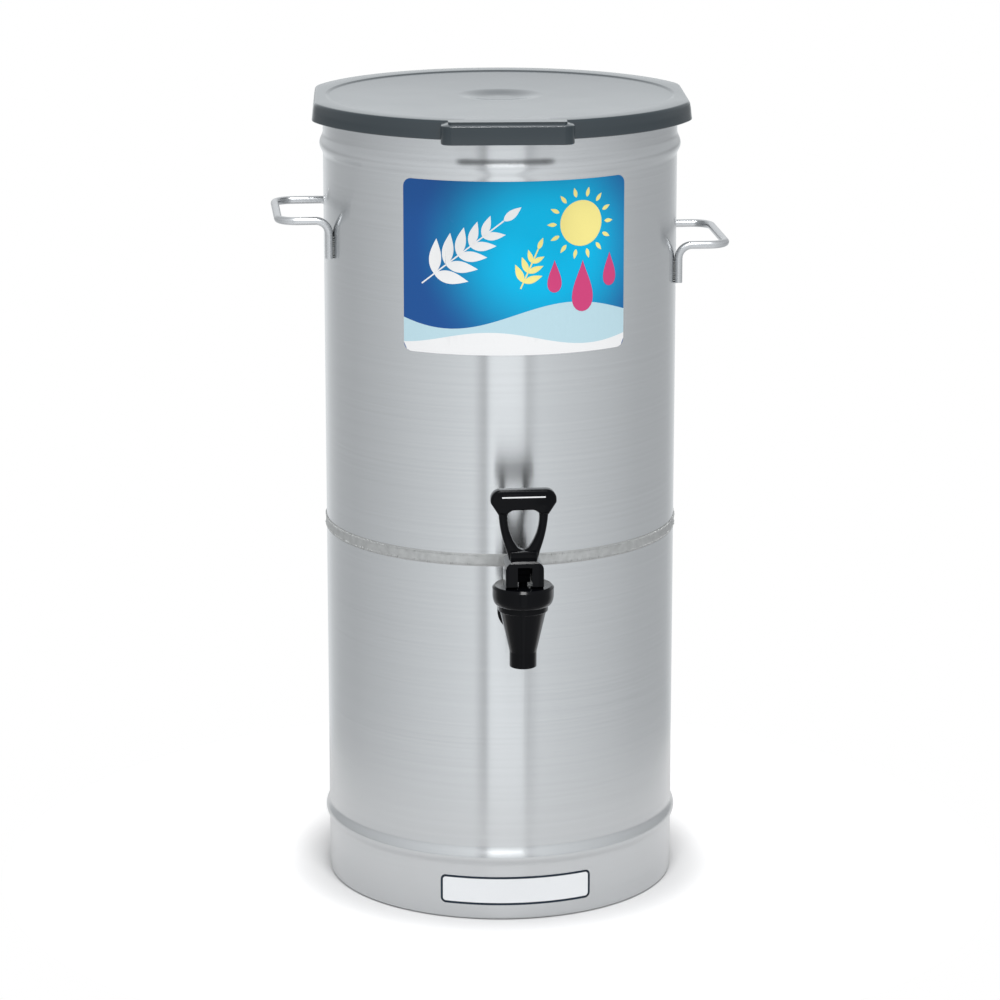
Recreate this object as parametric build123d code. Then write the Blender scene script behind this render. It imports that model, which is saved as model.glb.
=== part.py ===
from build123d import *
from math import cos, radians, sin, sqrt
import os

# All sizes are in millimetres. +Z is up, the front of the dispenser faces -Y,
# and the origin is on the body's axis at the bottom of the foot.

# Sheet body
body_radius = 127.0
sheet = 0.9
stand_height = 262.8
seam_height = 9.1
seam_bulge = 0.5
tank_height = 304.3
bead_proud = 2.5
lower_bead_z = 39.8
lower_bead_height = 23.2
upper_bead_drop = 15.2
upper_bead_height = 24.4
curl_radius = 0.7
curl_turn = 250.0
foot_width = 10.0
foot_bend = 2.5

# Floor pan of the tank
pan_sheet = 0.9
pan_depth = 57.8
pan_knuckle = 10.0
pan_gap = 0.1

# Wire handles
rod_radius = 2.5
handle_span = 91.0
handle_setback = 10.5
handle_reach = 34.0
handle_corner = 13.0
handle_leg = 27.0
leg_bend = 10.5
left_handle_drop = 81.2
right_handle_drop = 103.2
weld_radius = 3.4
weld_length = 17.0
weld_gap = 0.05

# Lid
lid_overhang = 14.0
lid_side_overhang = 5.8
lid_wall = 2.5
lid_skirt = 13.0
lid_flare = 1.4
lid_corner = 35.0
lid_edge = 1.8
lid_gap = 0.3
lid_turn = -3.4
recess_margin = 17.0
recess_depth = 1.0
dimple_radius = 33.0
dimple_foot = 19.0
dimple_depth = 2.2
rib_depth = 8.0
rib_wall = 2.0
rib_gap = 0.8
tab_width = 91.0
tab_reach = 11.0
tab_drop = 1.5
tab_lip = 0.7
tab_corner = 7.0
tab_groove = 1.6
tab_groove_inset = 4.5

# Label and plate
label_width = 165.0
label_height = 121.5
label_corner = 6.0
label_drop = 1.05
label_thickness = 0.3
plate_width = 111.0
plate_height = 21.4
plate_corner = 4.0
plate_z = 22.0
plate_thickness = 0.5
sticker_gap = 0.25

# Tap body, with heights from the shank's axis
shank_margin = 3.0
valve_reach = 40.0
tip_drop = 30.0
tip_radius = 9.5
tip_length = 11.0
spout_bore = 6.5
cone_height = 29.5
cone_top_radius = 16.2
collar_radius = 17.4
collar_height = 4.3
neck_radius = 15.5
neck_height = 7.9
chamber_radius = 10.0
seat_drop = 8.0
shank_radius = 11.0
shank_bore = 7.0
shank_tail = 2.0
stub_radius = 12.0
flange_radius = 14.6
flange_thickness = 4.0
hole_gap = 0.3

# Bonnet and its seal
bonnet_radius = 21.4
bonnet_foot_radius = 17.9
bonnet_height = 13.9
bonnet_edge = 1.6
bonnet_band = 5.0
bonnet_roof = 4.0
thread_gap = 0.1
seal_thickness = 2.0

# Valve stem, seat cup and return spring
stem_radius = 3.0
stem_head_radius = 4.2
stem_head_height = 1.6
stem_tip = 1.4
cup_radius = 8.6
cup_nose_radius = 5.5
cup_height = 4.7
cup_edge = 1.0
seat_gap = 0.2
running_gap = 0.05
spring_radius = 5.2
wire_radius = 0.5
wire_sides = 8
spring_half_turns = 13

# Gaskets, washer and nut round the shank
gasket_radius = 14.0
gasket_thickness = 3.0
gasket_gap = 0.1
washer_radius = 15.0
washer_thickness = 1.5
nut_radius = 14.5
nut_length = 9.0
wing_span = 54.0
wing_thickness = 5.0
wing_setback = 2.5

# Lever, pin and tag
lever_lift = 8.0
lever_max_tilt = 28.0
heel_gap = 0.2
pin_height = 9.0
pin_radius = 2.0
pin_inset = 0.6
base_width = 26.4
base_back = 12.0
base_corner = 5.0
base_top = 10.1
base_shoulder = 6.2
slot_width = 10.0
slot_roof = 6.0
tang_gap = 0.5
tang_depth = 8.0
tang_top = 4.5
tang_foot = 6.6
block_width = 18.6
block_depth = 12.0
block_bury = 1.0
loop_depth = 6.8
loop_edge = 1.6
loop_outer_top = 34.7
loop_outer_low = 23.5
loop_outer_bow = 1.2
loop_shoulder = 3.2
loop_opening = 21.9
loop_opening_low = 7.2
loop_opening_bow = 2.1
loop_bottom = 15.6
loop_crotch = 1.8
loop_corner = 4.2
bar_width = 45.7
bar_height = 14.5
bar_depth = 9.2
bar_edge = 2.0
bar_lap = 0.4
bar_corner = 7.0
bar_waist = 5.4
bar_waist_round = 3.0
bar_bottom = 44.4
tag_width = 36.0
tag_height = 8.6
tag_thickness = 0.5
tag_corner = 2.5
tag_gap = 0.05

# Worked out from the driving sizes
seam_top = stand_height + seam_height
rim_top = seam_top + tank_height
upper_bead_z = rim_top - upper_bead_drop - upper_bead_height
left_handle_z = rim_top - left_handle_drop
right_handle_z = rim_top - right_handle_drop
label_z = upper_bead_z - label_drop - label_height / 2
pan_floor_z = stand_height - pan_depth
pan_radius = body_radius - sheet - pan_gap
tank_inside = pan_radius - pan_sheet
lid_top = rim_top + lid_gap + lid_wall
valve_y = -body_radius - valve_reach
shank_z = pan_floor_z + pan_knuckle + shank_margin + gasket_radius
collar_top = cone_height + collar_height + tip_length - tip_drop
neck_top = collar_top + neck_height
bonnet_top = collar_top + bonnet_height
wall_stack = sheet + pan_gap + pan_sheet
outer_face = valve_reach - gasket_thickness
inner_face = valve_reach + wall_stack + gasket_thickness
pin_z = bonnet_top + heel_gap + pin_height
seat_slope_drop = chamber_radius - spout_bore
cup_base = seat_gap - seat_drop - (chamber_radius - cup_radius)
cup_top = cup_base + cup_height


def revolved(edges):
    """Turn a closed outline of radius and height round the Z axis."""
    return revolve(make_face(Plane.XZ * Curve(edges)), axis=Axis.Z)


def polygon(points):
    """Closed straight-sided outline of radius and height."""
    return Polyline(*points, close=True).edges()


def swell(radius, low, high, proud):
    """Half of a rolled bead from one height to another, as two tangent arcs."""
    middle = (radius + proud / 2, (low + high) / 2)
    rise = 1 if high > low else -1
    first = TangentArc((radius, low), middle, tangent=(0, rise))
    last = TangentArc((radius + proud, high), middle, tangent=(0, -rise))
    return [first, last]


def bead(radius, low, height, proud):
    """Outline of a whole rolled bead on a wall of the given radius."""
    crest = low + height / 2
    return swell(radius, low, crest, proud) + swell(radius, low + height, crest, proud)


def tap_place(part):
    """Move a tap part from its own frame to the front of the body."""
    return Pos(0, valve_y, shank_z) * part


def lever_place(part):
    """Move a lever part from the pin's frame to the tap."""
    return tap_place(Pos(0, 0, pin_z) * part)


def rod_along_y(radius, start, end):
    """Round bar along Y in the tap's frame."""
    bar = Cylinder(radius, end - start, align=(Align.CENTER, Align.CENTER, Align.MIN))
    return Pos(0, start, 0) * Rot(-90, 0, 0) * bar


def wall_hole():
    """Round cutter for the shank's hole in the sheet and the pan."""
    return tap_place(rod_along_y(shank_radius + hole_gap, outer_face, inner_face))


def stand_shell():
    """Rolled stand sheet with its turned-in foot and the bead above the skirt."""
    inside = body_radius - sheet
    foot_edge = body_radius - foot_width
    bead_top = lower_bead_z + lower_bead_height
    edges = [
        Line((foot_edge, 0), (body_radius - foot_bend, 0)),
        RadiusArc((body_radius - foot_bend, 0), (body_radius, foot_bend), -foot_bend),
        Line((body_radius, foot_bend), (body_radius, lower_bead_z)),
        *bead(body_radius, lower_bead_z, lower_bead_height, bead_proud),
        Line((body_radius, bead_top), (body_radius, stand_height)),
        Line((body_radius, stand_height), (inside, stand_height)),
        Line((inside, stand_height), (inside, bead_top)),
        *bead(inside, lower_bead_z, lower_bead_height, bead_proud),
        Line((inside, lower_bead_z), (inside, foot_bend)),
        RadiusArc((inside, foot_bend), (body_radius - foot_bend, sheet), foot_bend - sheet),
        Line((body_radius - foot_bend, sheet), (foot_edge, sheet)),
        Line((foot_edge, sheet), (foot_edge, 0)),
    ]
    return revolved(edges) - wall_hole()


def tank_shell():
    """Rolled tank sheet with its bead and the rim curled outwards."""
    inside = body_radius - sheet
    centre_x = body_radius + curl_radius
    centre_z = rim_top - curl_radius - sheet
    bead_low = upper_bead_z
    bead_high = upper_bead_z + upper_bead_height
    curl_in = CenterArc((centre_x, centre_z), curl_radius, 180, -curl_turn)
    curl_out = CenterArc((centre_x, centre_z), curl_radius + sheet, 180, -curl_turn)
    edges = [
        Line((inside, seam_top), (body_radius, seam_top)),
        Line((body_radius, seam_top), (body_radius, bead_low)),
        *bead(body_radius, bead_low, upper_bead_height, bead_proud),
        Line((body_radius, bead_high), (body_radius, centre_z)),
        curl_in,
        Line(curl_in @ 1, curl_out @ 1),
        curl_out,
        Line((inside, centre_z), (inside, bead_high)),
        *bead(inside, bead_low, upper_bead_height, bead_proud),
        Line((inside, bead_low), (inside, seam_top)),
    ]
    return revolved(edges)


def seam_weld():
    """Weld band that closes the gap between tank, pan and stand."""
    crown = ThreePointArc(
        (body_radius, stand_height),
        (body_radius + seam_bulge, (stand_height + seam_top) / 2),
        (body_radius, seam_top),
    )
    inside = body_radius - sheet
    edges = [
        Line((tank_inside, stand_height), (body_radius, stand_height)),
        crown,
        Line((body_radius, seam_top), (inside, seam_top)),
        Line((inside, seam_top), (tank_inside, stand_height + pan_sheet)),
        Line((tank_inside, stand_height + pan_sheet), (tank_inside, stand_height)),
    ]
    return revolved(edges)


def tank_pan():
    """Drawn floor pan that hangs from the seam inside the stand."""
    corner = pan_radius - pan_knuckle
    knuckle_z = pan_floor_z + pan_knuckle
    inner_bend = pan_knuckle - pan_sheet
    edges = [
        Line((0, pan_floor_z), (corner, pan_floor_z)),
        RadiusArc((corner, pan_floor_z), (pan_radius, knuckle_z), -pan_knuckle),
        Line((pan_radius, knuckle_z), (pan_radius, stand_height)),
        Line((pan_radius, stand_height), (tank_inside, stand_height)),
        Line((tank_inside, stand_height), (tank_inside, knuckle_z)),
        RadiusArc((tank_inside, knuckle_z), (corner, pan_floor_z + pan_sheet), inner_bend),
        Line((corner, pan_floor_z + pan_sheet), (0, pan_floor_z + pan_sheet)),
        Line((0, pan_floor_z + pan_sheet), (0, pan_floor_z)),
    ]
    return revolved(edges) - wall_hole()


def handle(side, arm_z):
    """Bent wire handle with its weld fillets; side is -1 for left and 1 for right."""
    leg_radius = body_radius + rod_radius + weld_gap
    front = handle_setback - handle_span / 2
    back = handle_setback + handle_span / 2
    front_x = side * sqrt(leg_radius**2 - front**2)
    back_x = side * sqrt(leg_radius**2 - back**2)
    bar_x = side * (body_radius + handle_reach)
    low = arm_z - handle_leg
    corners = [
        (front_x, front, low),
        (front_x, front, arm_z),
        (bar_x, front, arm_z),
        (bar_x, back, arm_z),
        (back_x, back, arm_z),
        (back_x, back, low),
    ]
    radii = [leg_bend, handle_corner, handle_corner, leg_bend]
    path = FilletPolyline(*corners, radius=radii)
    section = Plane(origin=path @ 0, z_dir=path % 0) * Circle(rod_radius)
    wire = sweep(section, path=path)
    blob = Cylinder(weld_radius, weld_length, align=(Align.CENTER, Align.CENTER, Align.MIN))
    touch = body_radius / leg_radius
    welds = [Pos(x * touch, y * touch, low) * blob for x, y in ((front_x, front), (back_x, back))]
    body = Pos(0, 0, arm_z) * Cylinder(body_radius + weld_gap, 4 * handle_leg)
    return wire + [weld - body for weld in welds]


def lid_outline(grow, z):
    """Outline of the lid, a circle with two flat sides, at one height."""
    width = 2 * (body_radius + lid_side_overhang + grow)
    round_part = Circle(body_radius + lid_overhang + grow)
    face = round_part & Rectangle(width, 4 * body_radius)
    return Pos(0, 0, z) * fillet(face.vertices(), lid_corner)


def lid_tab(inset, low, high):
    """Block of the front grip tab, or of the hollow inside it."""
    front = body_radius + lid_overhang + tab_reach - inset
    plan = Pos(0, -front / 2) * Rectangle(tab_width - 2 * inset, front)
    corners = plan.vertices().group_by(Axis.Y)[0]
    plan = fillet(corners, tab_corner - inset)
    return extrude(Pos(0, 0, low) * plan, high - low)


def lid_recess():
    """Radius and floor height of the shallow recess in the top of the lid."""
    edge = body_radius + lid_overhang - recess_margin
    floor = lid_top - recess_depth
    return edge, floor


def lid():
    """Moulded lid with skirt, grip tab, locating rib and a recessed top with a dimple."""
    skirt_z = lid_top - lid_skirt
    underside = lid_top - lid_wall
    edge, floor = lid_recess()
    shoulder = lid_outline(lid_flare * lid_edge / lid_skirt, lid_top - lid_edge)
    outer = loft([lid_outline(lid_flare, skirt_z), shoulder, lid_outline(-lid_edge, lid_top)],
                 ruled=True)
    outer += lid_tab(0, skirt_z - tab_drop, lid_top + tab_lip)
    mouth_z = skirt_z - tab_drop
    inner = loft([lid_outline(lid_flare - lid_wall, mouth_z), lid_outline(-lid_wall, underside)],
                 ruled=True)
    inner += lid_tab(lid_wall, mouth_z, underside)
    recess = [
        (0, lid_top + lid_wall),
        (edge, lid_top + lid_wall),
        (edge, floor),
        (dimple_radius, floor),
        (dimple_foot, floor - dimple_depth),
        (0, floor - dimple_depth),
    ]
    rib_outer = body_radius - sheet - rib_gap
    plate = [(0, lid_top), (rib_outer, lid_top), (rib_outer, floor - lid_wall)]
    plate += [(radius, z - lid_wall) for radius, z in recess[3:]]
    rib = [
        (rib_outer - rib_wall, lid_top - lid_wall / 2),
        (rib_outer, lid_top - lid_wall / 2),
        (rib_outer, underside - rib_depth),
        (rib_outer - rib_wall, underside - rib_depth),
    ]
    shell = outer - inner
    shell += revolved(polygon(plate))
    shell += revolved(polygon(rib))
    shell -= revolved(polygon(recess))
    groove_y = -(body_radius + lid_overhang + tab_reach - tab_groove_inset)
    groove = Box(tab_width - 2 * tab_groove_inset, tab_groove, 2 * tab_lip)
    shell -= Pos(0, groove_y, lid_top + tab_lip) * groove
    return Rot(0, 0, lid_turn) * shell


def curved_sticker(width, height, corner, thickness, middle_z):
    """Thin plate wrapped round the front of the body, with rounded corners."""
    half_turn = width / 2 / body_radius
    chord = 2 * body_radius * sin(half_turn)
    ring = Cylinder(body_radius + sticker_gap + thickness, height)
    ring -= Cylinder(body_radius + sticker_gap, 2 * height)
    window = extrude(Plane.XZ * RectangleRounded(chord, height, corner), 2 * body_radius)
    return Pos(0, 0, middle_z) * (ring & window)


def faucet_body():
    """Tap body: spout, cone, collar, bonnet neck, shoulder flange and hollow shank."""
    tip_top = tip_length - tip_drop
    cone_top = tip_top + cone_height
    outline = [
        (0, -tip_drop),
        (tip_radius, -tip_drop),
        (tip_radius, tip_top),
        (cone_top_radius, cone_top),
        (collar_radius, cone_top),
        (collar_radius, collar_top),
        (neck_radius, collar_top),
        (neck_radius, neck_top),
        (0, neck_top),
    ]
    hollow = [
        (0, -2 * tip_drop),
        (spout_bore, -2 * tip_drop),
        (spout_bore, -seat_drop - seat_slope_drop),
        (chamber_radius, -seat_drop),
        (chamber_radius, 2 * neck_top),
        (0, 2 * neck_top),
    ]
    nut_end = inner_face + washer_thickness + nut_length + shank_tail
    body = revolved(polygon(outline))
    body += rod_along_y(stub_radius, 0, outer_face - flange_thickness / 2)
    body += rod_along_y(flange_radius, outer_face - flange_thickness, outer_face)
    body += rod_along_y(shank_radius, outer_face - flange_thickness / 2, nut_end)
    body -= revolved(polygon(hollow))
    body -= rod_along_y(shank_bore, 0, 2 * nut_end)
    return tap_place(body)


def bonnet():
    """Round screw cap with a rolled lower edge and the stem's guide hole."""
    band_low = bonnet_top - bonnet_edge - bonnet_band
    inside = neck_radius + thread_gap
    ceiling = bonnet_top - bonnet_roof
    bore = stem_radius + running_gap
    low_point = (bonnet_foot_radius, collar_top)
    band_point = (bonnet_radius, band_low)
    edges = [
        Line((inside, collar_top), low_point),
        TangentArc(band_point, low_point, tangent=(0, -1)),
        Line(band_point, (bonnet_radius, bonnet_top - bonnet_edge)),
        RadiusArc(
            (bonnet_radius, bonnet_top - bonnet_edge),
            (bonnet_radius - bonnet_edge, bonnet_top),
            -bonnet_edge,
        ),
        Line((bonnet_radius - bonnet_edge, bonnet_top), (bore, bonnet_top)),
        Line((bore, bonnet_top), (bore, ceiling)),
        Line((bore, ceiling), (inside, ceiling)),
        Line((inside, ceiling), (inside, collar_top)),
    ]
    return tap_place(revolved(edges))


def bonnet_seal():
    """Ring between the tap's neck and the bonnet, round the stem."""
    hole = stem_radius + running_gap
    ring = Cylinder(neck_radius, seal_thickness) - Cylinder(hole, 2 * seal_thickness)
    return tap_place(Pos(0, 0, neck_top + seal_thickness / 2) * ring)


def stem_rod(extra, top):
    """Round stem with its snap head, or the socket for it with extra room."""
    head_low = cup_base + stem_tip
    head_high = head_low + stem_head_height
    return revolved(polygon([
        (0, cup_base - extra),
        (stem_radius + extra, cup_base - extra),
        (stem_radius + extra, head_low - extra),
        (stem_head_radius + extra, head_low - extra),
        (stem_head_radius + extra, head_high + extra),
        (stem_radius + extra, head_high + extra),
        (stem_radius + extra, top),
        (0, top),
    ]))


def valve_stem():
    """Stem with a flat tang on top that takes the lever's pin."""
    foot = pin_z - tang_foot
    width = slot_width - 2 * tang_gap
    rod = stem_rod(0, pin_z)
    tang = Pos(0, 0, (foot + pin_z) / 2) * Box(width, tang_depth, pin_z - foot)
    tang += Pos(0, 0, pin_z) * Rot(0, 90, 0) * Cylinder(tang_top, width)
    eye = Pos(0, 0, pin_z) * Rot(0, 90, 0) * Cylinder(pin_radius + running_gap, 2 * width)
    return tap_place(rod + tang - eye)


def seat_cup():
    """Soft cup with a conical nose that closes the spout."""
    nose_z = cup_base - (cup_radius - cup_nose_radius)
    cup = revolved([
        Line((0, nose_z), (cup_nose_radius, nose_z)),
        Line((cup_nose_radius, nose_z), (cup_radius, cup_base)),
        Line((cup_radius, cup_base), (cup_radius, cup_top - cup_edge)),
        RadiusArc((cup_radius, cup_top - cup_edge), (cup_radius - cup_edge, cup_top), -cup_edge),
        Line((cup_radius - cup_edge, cup_top), (0, cup_top)),
        Line((0, cup_top), (0, nose_z)),
    ])
    return tap_place(cup - stem_rod(running_gap, cup_top + cup_height))


def coil_path(low, high):
    """Unbroken line of half turns round the axis, each tilted so that the coil climbs."""
    rise = (high - low) / spring_half_turns
    crest = sqrt(spring_radius**2 + (rise / 2) ** 2)
    arcs = []
    for turn in range(spring_half_turns):
        side = (-1) ** turn
        z = low + turn * rise
        arcs.append(ThreePointArc(
            (side * spring_radius, 0, z),
            (0, side * crest, z + rise / 2),
            (-side * spring_radius, 0, z + rise),
        ))
    return Wire(arcs)


def return_spring():
    """Coil spring between the seat cup and the bonnet seal, with an eight-sided wire."""
    margin = wire_radius + seat_gap
    coil = coil_path(cup_top + margin, neck_top - margin)
    wire = Plane(origin=coil @ 0, z_dir=coil % 0) * RegularPolygon(wire_radius, wire_sides)
    return tap_place(sweep(wire, path=coil))


def outer_gasket():
    """Soft ring between the tap's shoulder and the curved stand sheet."""
    ring = rod_along_y(gasket_radius, outer_face, valve_reach + gasket_thickness)
    ring -= rod_along_y(shank_radius + gasket_gap, 0, 2 * inner_face)
    wall = Pos(0, 0, shank_z) * Cylinder(body_radius + running_gap, 4 * gasket_radius)
    return tap_place(ring) - wall


def inner_gasket():
    """Soft ring between the washer and the curved inside of the pan."""
    ring = rod_along_y(gasket_radius, valve_reach, inner_face)
    ring -= rod_along_y(shank_radius + gasket_gap, 0, 2 * inner_face)
    wall = Pos(0, 0, shank_z) * Cylinder(tank_inside - running_gap, 4 * gasket_radius)
    return tap_place(ring) & wall


def inner_washer():
    """Flat washer between the inner gasket and the nut."""
    ring = rod_along_y(washer_radius, inner_face, inner_face + washer_thickness)
    return tap_place(ring - rod_along_y(shank_radius + gasket_gap, 0, 2 * inner_face))


def shank_nut():
    """Wing nut that clamps the tap from inside the tank."""
    start = inner_face + washer_thickness
    end = start + nut_length
    nut = rod_along_y(nut_radius, start, end)
    wing = Pos(0, (start + wing_setback + end) / 2, 0)
    wing *= Box(wing_span, nut_length - wing_setback, wing_thickness)
    nut += fillet(wing.edges().filter_by(Axis.Z), wing_thickness / 2)
    return tap_place(nut - rod_along_y(shank_radius + thread_gap, 0, 2 * end))


def heel_point(tilt):
    """Point of the heel that bears on the bonnet when the lever is tilted by an angle."""
    reach = pin_height + lever_lift * tilt
    return (
        -reach * sin(tilt) - lever_lift * cos(tilt),
        -reach * cos(tilt) + lever_lift * sin(tilt),
    )


def lever_base():
    """Forked foot of the lever, with a heel whose lift is proportional to the tilt."""
    steps = 6
    heel = [heel_point(radians(lever_max_tilt) * step / steps) for step in range(steps + 1)]
    front = heel[-1][0]
    outline = [
        Line((base_back, -pin_height), heel[0]),
        Spline(*heel),
        Line(heel[-1], (front, base_top)),
        Line((front, base_top), (base_back, base_top)),
        Line((base_back, base_top), (base_back, -pin_height)),
    ]
    side = extrude(make_face(Plane.YZ * Curve(outline)), base_width, both=True)
    depth = base_back - front
    plan = Pos(0, (base_back + front) / 2) * RectangleRounded(base_width, depth, base_corner)
    column = extrude(Pos(0, 0, -2 * pin_height) * plan, 2 * pin_height + 2 * base_top)
    face = Pos(0, base_top / 2 - pin_height) * Rectangle(base_width, base_top + 2 * pin_height)
    shoulders = face.vertices().group_by(Axis.Y)[-1]
    arch = extrude(Plane.XZ * fillet(shoulders, base_shoulder), 2 * depth, both=True)
    return side & column & arch


def bowed(start, end, bow):
    """Arc between two points that stands out to the right of its chord."""
    dx, dz = end[0] - start[0], end[1] - start[1]
    share = bow / sqrt(dx**2 + dz**2)
    middle = ((start[0] + end[0]) / 2 + dz * share, (start[1] + end[1]) / 2 - dx * share)
    return ThreePointArc(start, middle, end)


def mirrored_slab(half, depth):
    """Flat slab in the XZ plane from the right half of its outline, across the Y axis."""
    right = Curve(half)
    face = make_face(Plane.XZ * (right + mirror(right, about=Plane.YZ)))
    return extrude(face, depth / 2, both=True)


def round_rims(slab, depth, radius, ceiling):
    """Round the edges of both flat faces of a slab, below a height."""
    face_band = radius / 10
    rims = slab.edges().filter_by(lambda edge: abs(abs(edge.center().Y) - depth / 2) < face_band)
    return fillet(rims.filter_by(lambda edge: edge.center().Z < ceiling), radius)


def loop_slab():
    """Two bowed sides of the lever's finger loop, down to the block."""
    root = (block_width / 2, base_top - block_bury)
    low = (loop_outer_low / 2, loop_bottom)
    high = (loop_outer_top / 2, bar_bottom)
    inside = (high[0], bar_bottom + bar_edge)
    outline = [
        Line((0, root[1]), root),
        Line(root, low),
        bowed(low, high, loop_outer_bow),
        Line(high, inside),
        Line(inside, (0, inside[1])),
    ]
    return mirrored_slab(outline, loop_depth)


def opening_slab():
    """Finger opening of the loop, with a shallow point at its bottom."""
    low = (loop_opening_low / 2, loop_bottom + loop_crotch)
    high = (loop_opening / 2, bar_bottom - loop_corner)
    corner = (high[0] - loop_corner, bar_bottom)
    outline = [
        Line((0, loop_bottom), low),
        bowed(low, high, loop_opening_bow),
        RadiusArc(high, corner, -loop_corner),
        Line(corner, (0, bar_bottom)),
    ]
    return mirrored_slab(outline, 2 * bar_depth)


def bar_slab():
    """Top bar of the lever, with lower corners that run down into the loop."""
    side = bar_width / 2
    top = bar_bottom + bar_height
    low = (loop_outer_top / 2 + bar_lap, bar_bottom - loop_shoulder)
    shoulder = FilletPolyline(
        (0, top), (side, top), (side, bar_bottom + bar_waist), low,
        radius=[bar_corner, bar_waist_round],
    )
    outline = [*shoulder.edges(), Line(low, (0, low[1]))]
    return round_rims(mirrored_slab(outline, bar_depth), bar_depth, bar_edge, 2 * top)


def lever():
    """Loop lever with a forked base, a top bar and a pocket for the tag."""
    opening = opening_slab()
    loop = round_rims(loop_slab() - opening, loop_depth, loop_edge, bar_bottom + bar_edge / 2)
    block_low = base_top - block_bury
    block_height = loop_bottom - block_bury - block_low
    block = Pos(0, 0, block_low + block_height / 2) * Box(block_width, block_depth, block_height)
    body = loop + block + bar_slab() + lever_base() - opening
    slot_low = -2 * pin_height
    slot = Pos(0, 0, (slot_low + slot_roof) / 2) * Box(slot_width, 4 * base_back,
                                                       slot_roof - slot_low)
    bore = Rot(0, 90, 0) * Cylinder(pin_radius + running_gap, 2 * base_width)
    return lever_place(body - slot - bore - tag_blank(tag_gap))


def tag_blank(extra):
    """Tag in the front of the lever's bar, or its pocket with extra room."""
    bar_z = bar_bottom + bar_height / 2
    face = RectangleRounded(tag_width + 2 * extra, tag_height + 2 * extra, tag_corner + extra)
    bed = Plane(origin=(0, tag_thickness - bar_depth / 2, bar_z), x_dir=(1, 0, 0), z_dir=(0, -1, 0))
    return extrude(bed * face, tag_thickness)


def lever_tag():
    """Inlaid tag of the lever's bar."""
    return lever_place(tag_blank(0))


def lever_pin():
    """Steel pin through the fork and the stem's eye."""
    pin = Cylinder(pin_radius, base_width - 2 * pin_inset)
    return lever_place(Rot(0, 90, 0) * pin)


def build():
    """Every piece of the dispenser by name."""
    return {
        "tank_shell": tank_shell(),
        "tank_pan": tank_pan(),
        "seam_weld": seam_weld(),
        "stand_shell": stand_shell(),
        "left_handle": handle(-1, left_handle_z),
        "right_handle": handle(1, right_handle_z),
        "lid": lid(),
        "front_label": curved_sticker(
            label_width, label_height, label_corner, label_thickness, label_z),
        "name_plate": curved_sticker(
            plate_width, plate_height, plate_corner, plate_thickness, plate_z),
        "faucet_body": faucet_body(),
        "bonnet": bonnet(),
        "bonnet_seal": bonnet_seal(),
        "valve_stem": valve_stem(),
        "seat_cup": seat_cup(),
        "return_spring": return_spring(),
        "outer_gasket": outer_gasket(),
        "inner_gasket": inner_gasket(),
        "inner_washer": inner_washer(),
        "shank_nut": shank_nut(),
        "lever": lever(),
        "lever_pin": lever_pin(),
        "lever_tag": lever_tag(),
    }


os.makedirs("parts", exist_ok=True)
for node, part in build().items():
    export_step(part, "parts/" + node + ".step")
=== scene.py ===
"""Looks of a round steel drinks dispenser: shells, handles, lid, label, tap and studio."""

import math

import bmesh
import bpy
from bpy.props import FloatProperty, FloatVectorProperty, IntProperty, PointerProperty
from mathutils import Matrix, Vector, noise


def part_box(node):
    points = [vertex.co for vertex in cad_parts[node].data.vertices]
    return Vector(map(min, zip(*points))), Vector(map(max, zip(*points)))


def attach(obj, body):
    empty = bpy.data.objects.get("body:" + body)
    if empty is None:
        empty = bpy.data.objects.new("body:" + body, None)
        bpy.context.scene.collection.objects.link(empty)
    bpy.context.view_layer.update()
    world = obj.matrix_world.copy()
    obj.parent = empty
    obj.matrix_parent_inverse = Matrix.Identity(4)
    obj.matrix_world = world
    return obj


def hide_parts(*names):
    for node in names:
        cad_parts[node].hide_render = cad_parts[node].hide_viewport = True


bl_info = {
    "name": "Steel Drinks Dispenser",
    "version": (1, 0, 0),
    "blender": (4, 5, 0),
    "location": "3D View > Sidebar > Dispenser",
    "description": "Builds the pieces, finishes and studio of a round steel drinks dispenser",
    "category": "Add Mesh",
}

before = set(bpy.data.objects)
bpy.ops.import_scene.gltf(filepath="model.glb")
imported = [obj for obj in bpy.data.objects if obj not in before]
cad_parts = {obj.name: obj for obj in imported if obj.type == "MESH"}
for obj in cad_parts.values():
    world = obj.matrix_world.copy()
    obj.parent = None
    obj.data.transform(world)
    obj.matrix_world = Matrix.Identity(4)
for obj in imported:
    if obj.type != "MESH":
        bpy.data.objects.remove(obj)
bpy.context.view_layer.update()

MM = 0.001
TINY = 1e-7
SMOOTH_ANGLE = math.radians(32)
SHELL_STEPS = 288
COARSE_PITS, FINE_PITS = 420, 1300  # pits of the seam per metre
BITE = 0.01 * MM  # how far a layer sinks into what it lies on
FULL_TURN = 2 * math.pi
QUARTER = math.pi / 2


def low(node):
    """Lowest corner of a CAD node."""
    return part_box(node)[0]


def high(node):
    """Highest corner of a CAD node."""
    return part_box(node)[1]


def upright(node):
    """Middle and height of a CAD node's box along Z."""
    start, end = low(node).z, high(node).z
    return (start + end) / 2, end - start


def length(name, description, millimetres):
    """Length property with its default given in millimetres."""
    return FloatProperty(name=name, description=description, default=millimetres * MM,
                         unit="LENGTH", subtype="DISTANCE")


def angle(name, description, degrees):
    """Angle property with its default given in degrees."""
    return FloatProperty(name=name, description=description, default=math.radians(degrees),
                         unit="ROTATION", subtype="ANGLE")


def factor(name, description, value):
    """Plain number property."""
    return FloatProperty(name=name, description=description, default=value)


def colour(name, description, red, green, blue):
    """Colour property with linear components."""
    return FloatVectorProperty(name=name, description=description, size=3, subtype="COLOR",
                               min=0.0, max=1.0, default=(red, green, blue))


def count(name, description, value):
    """Whole number property."""
    return IntProperty(name=name, description=description, default=value, min=1)


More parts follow.
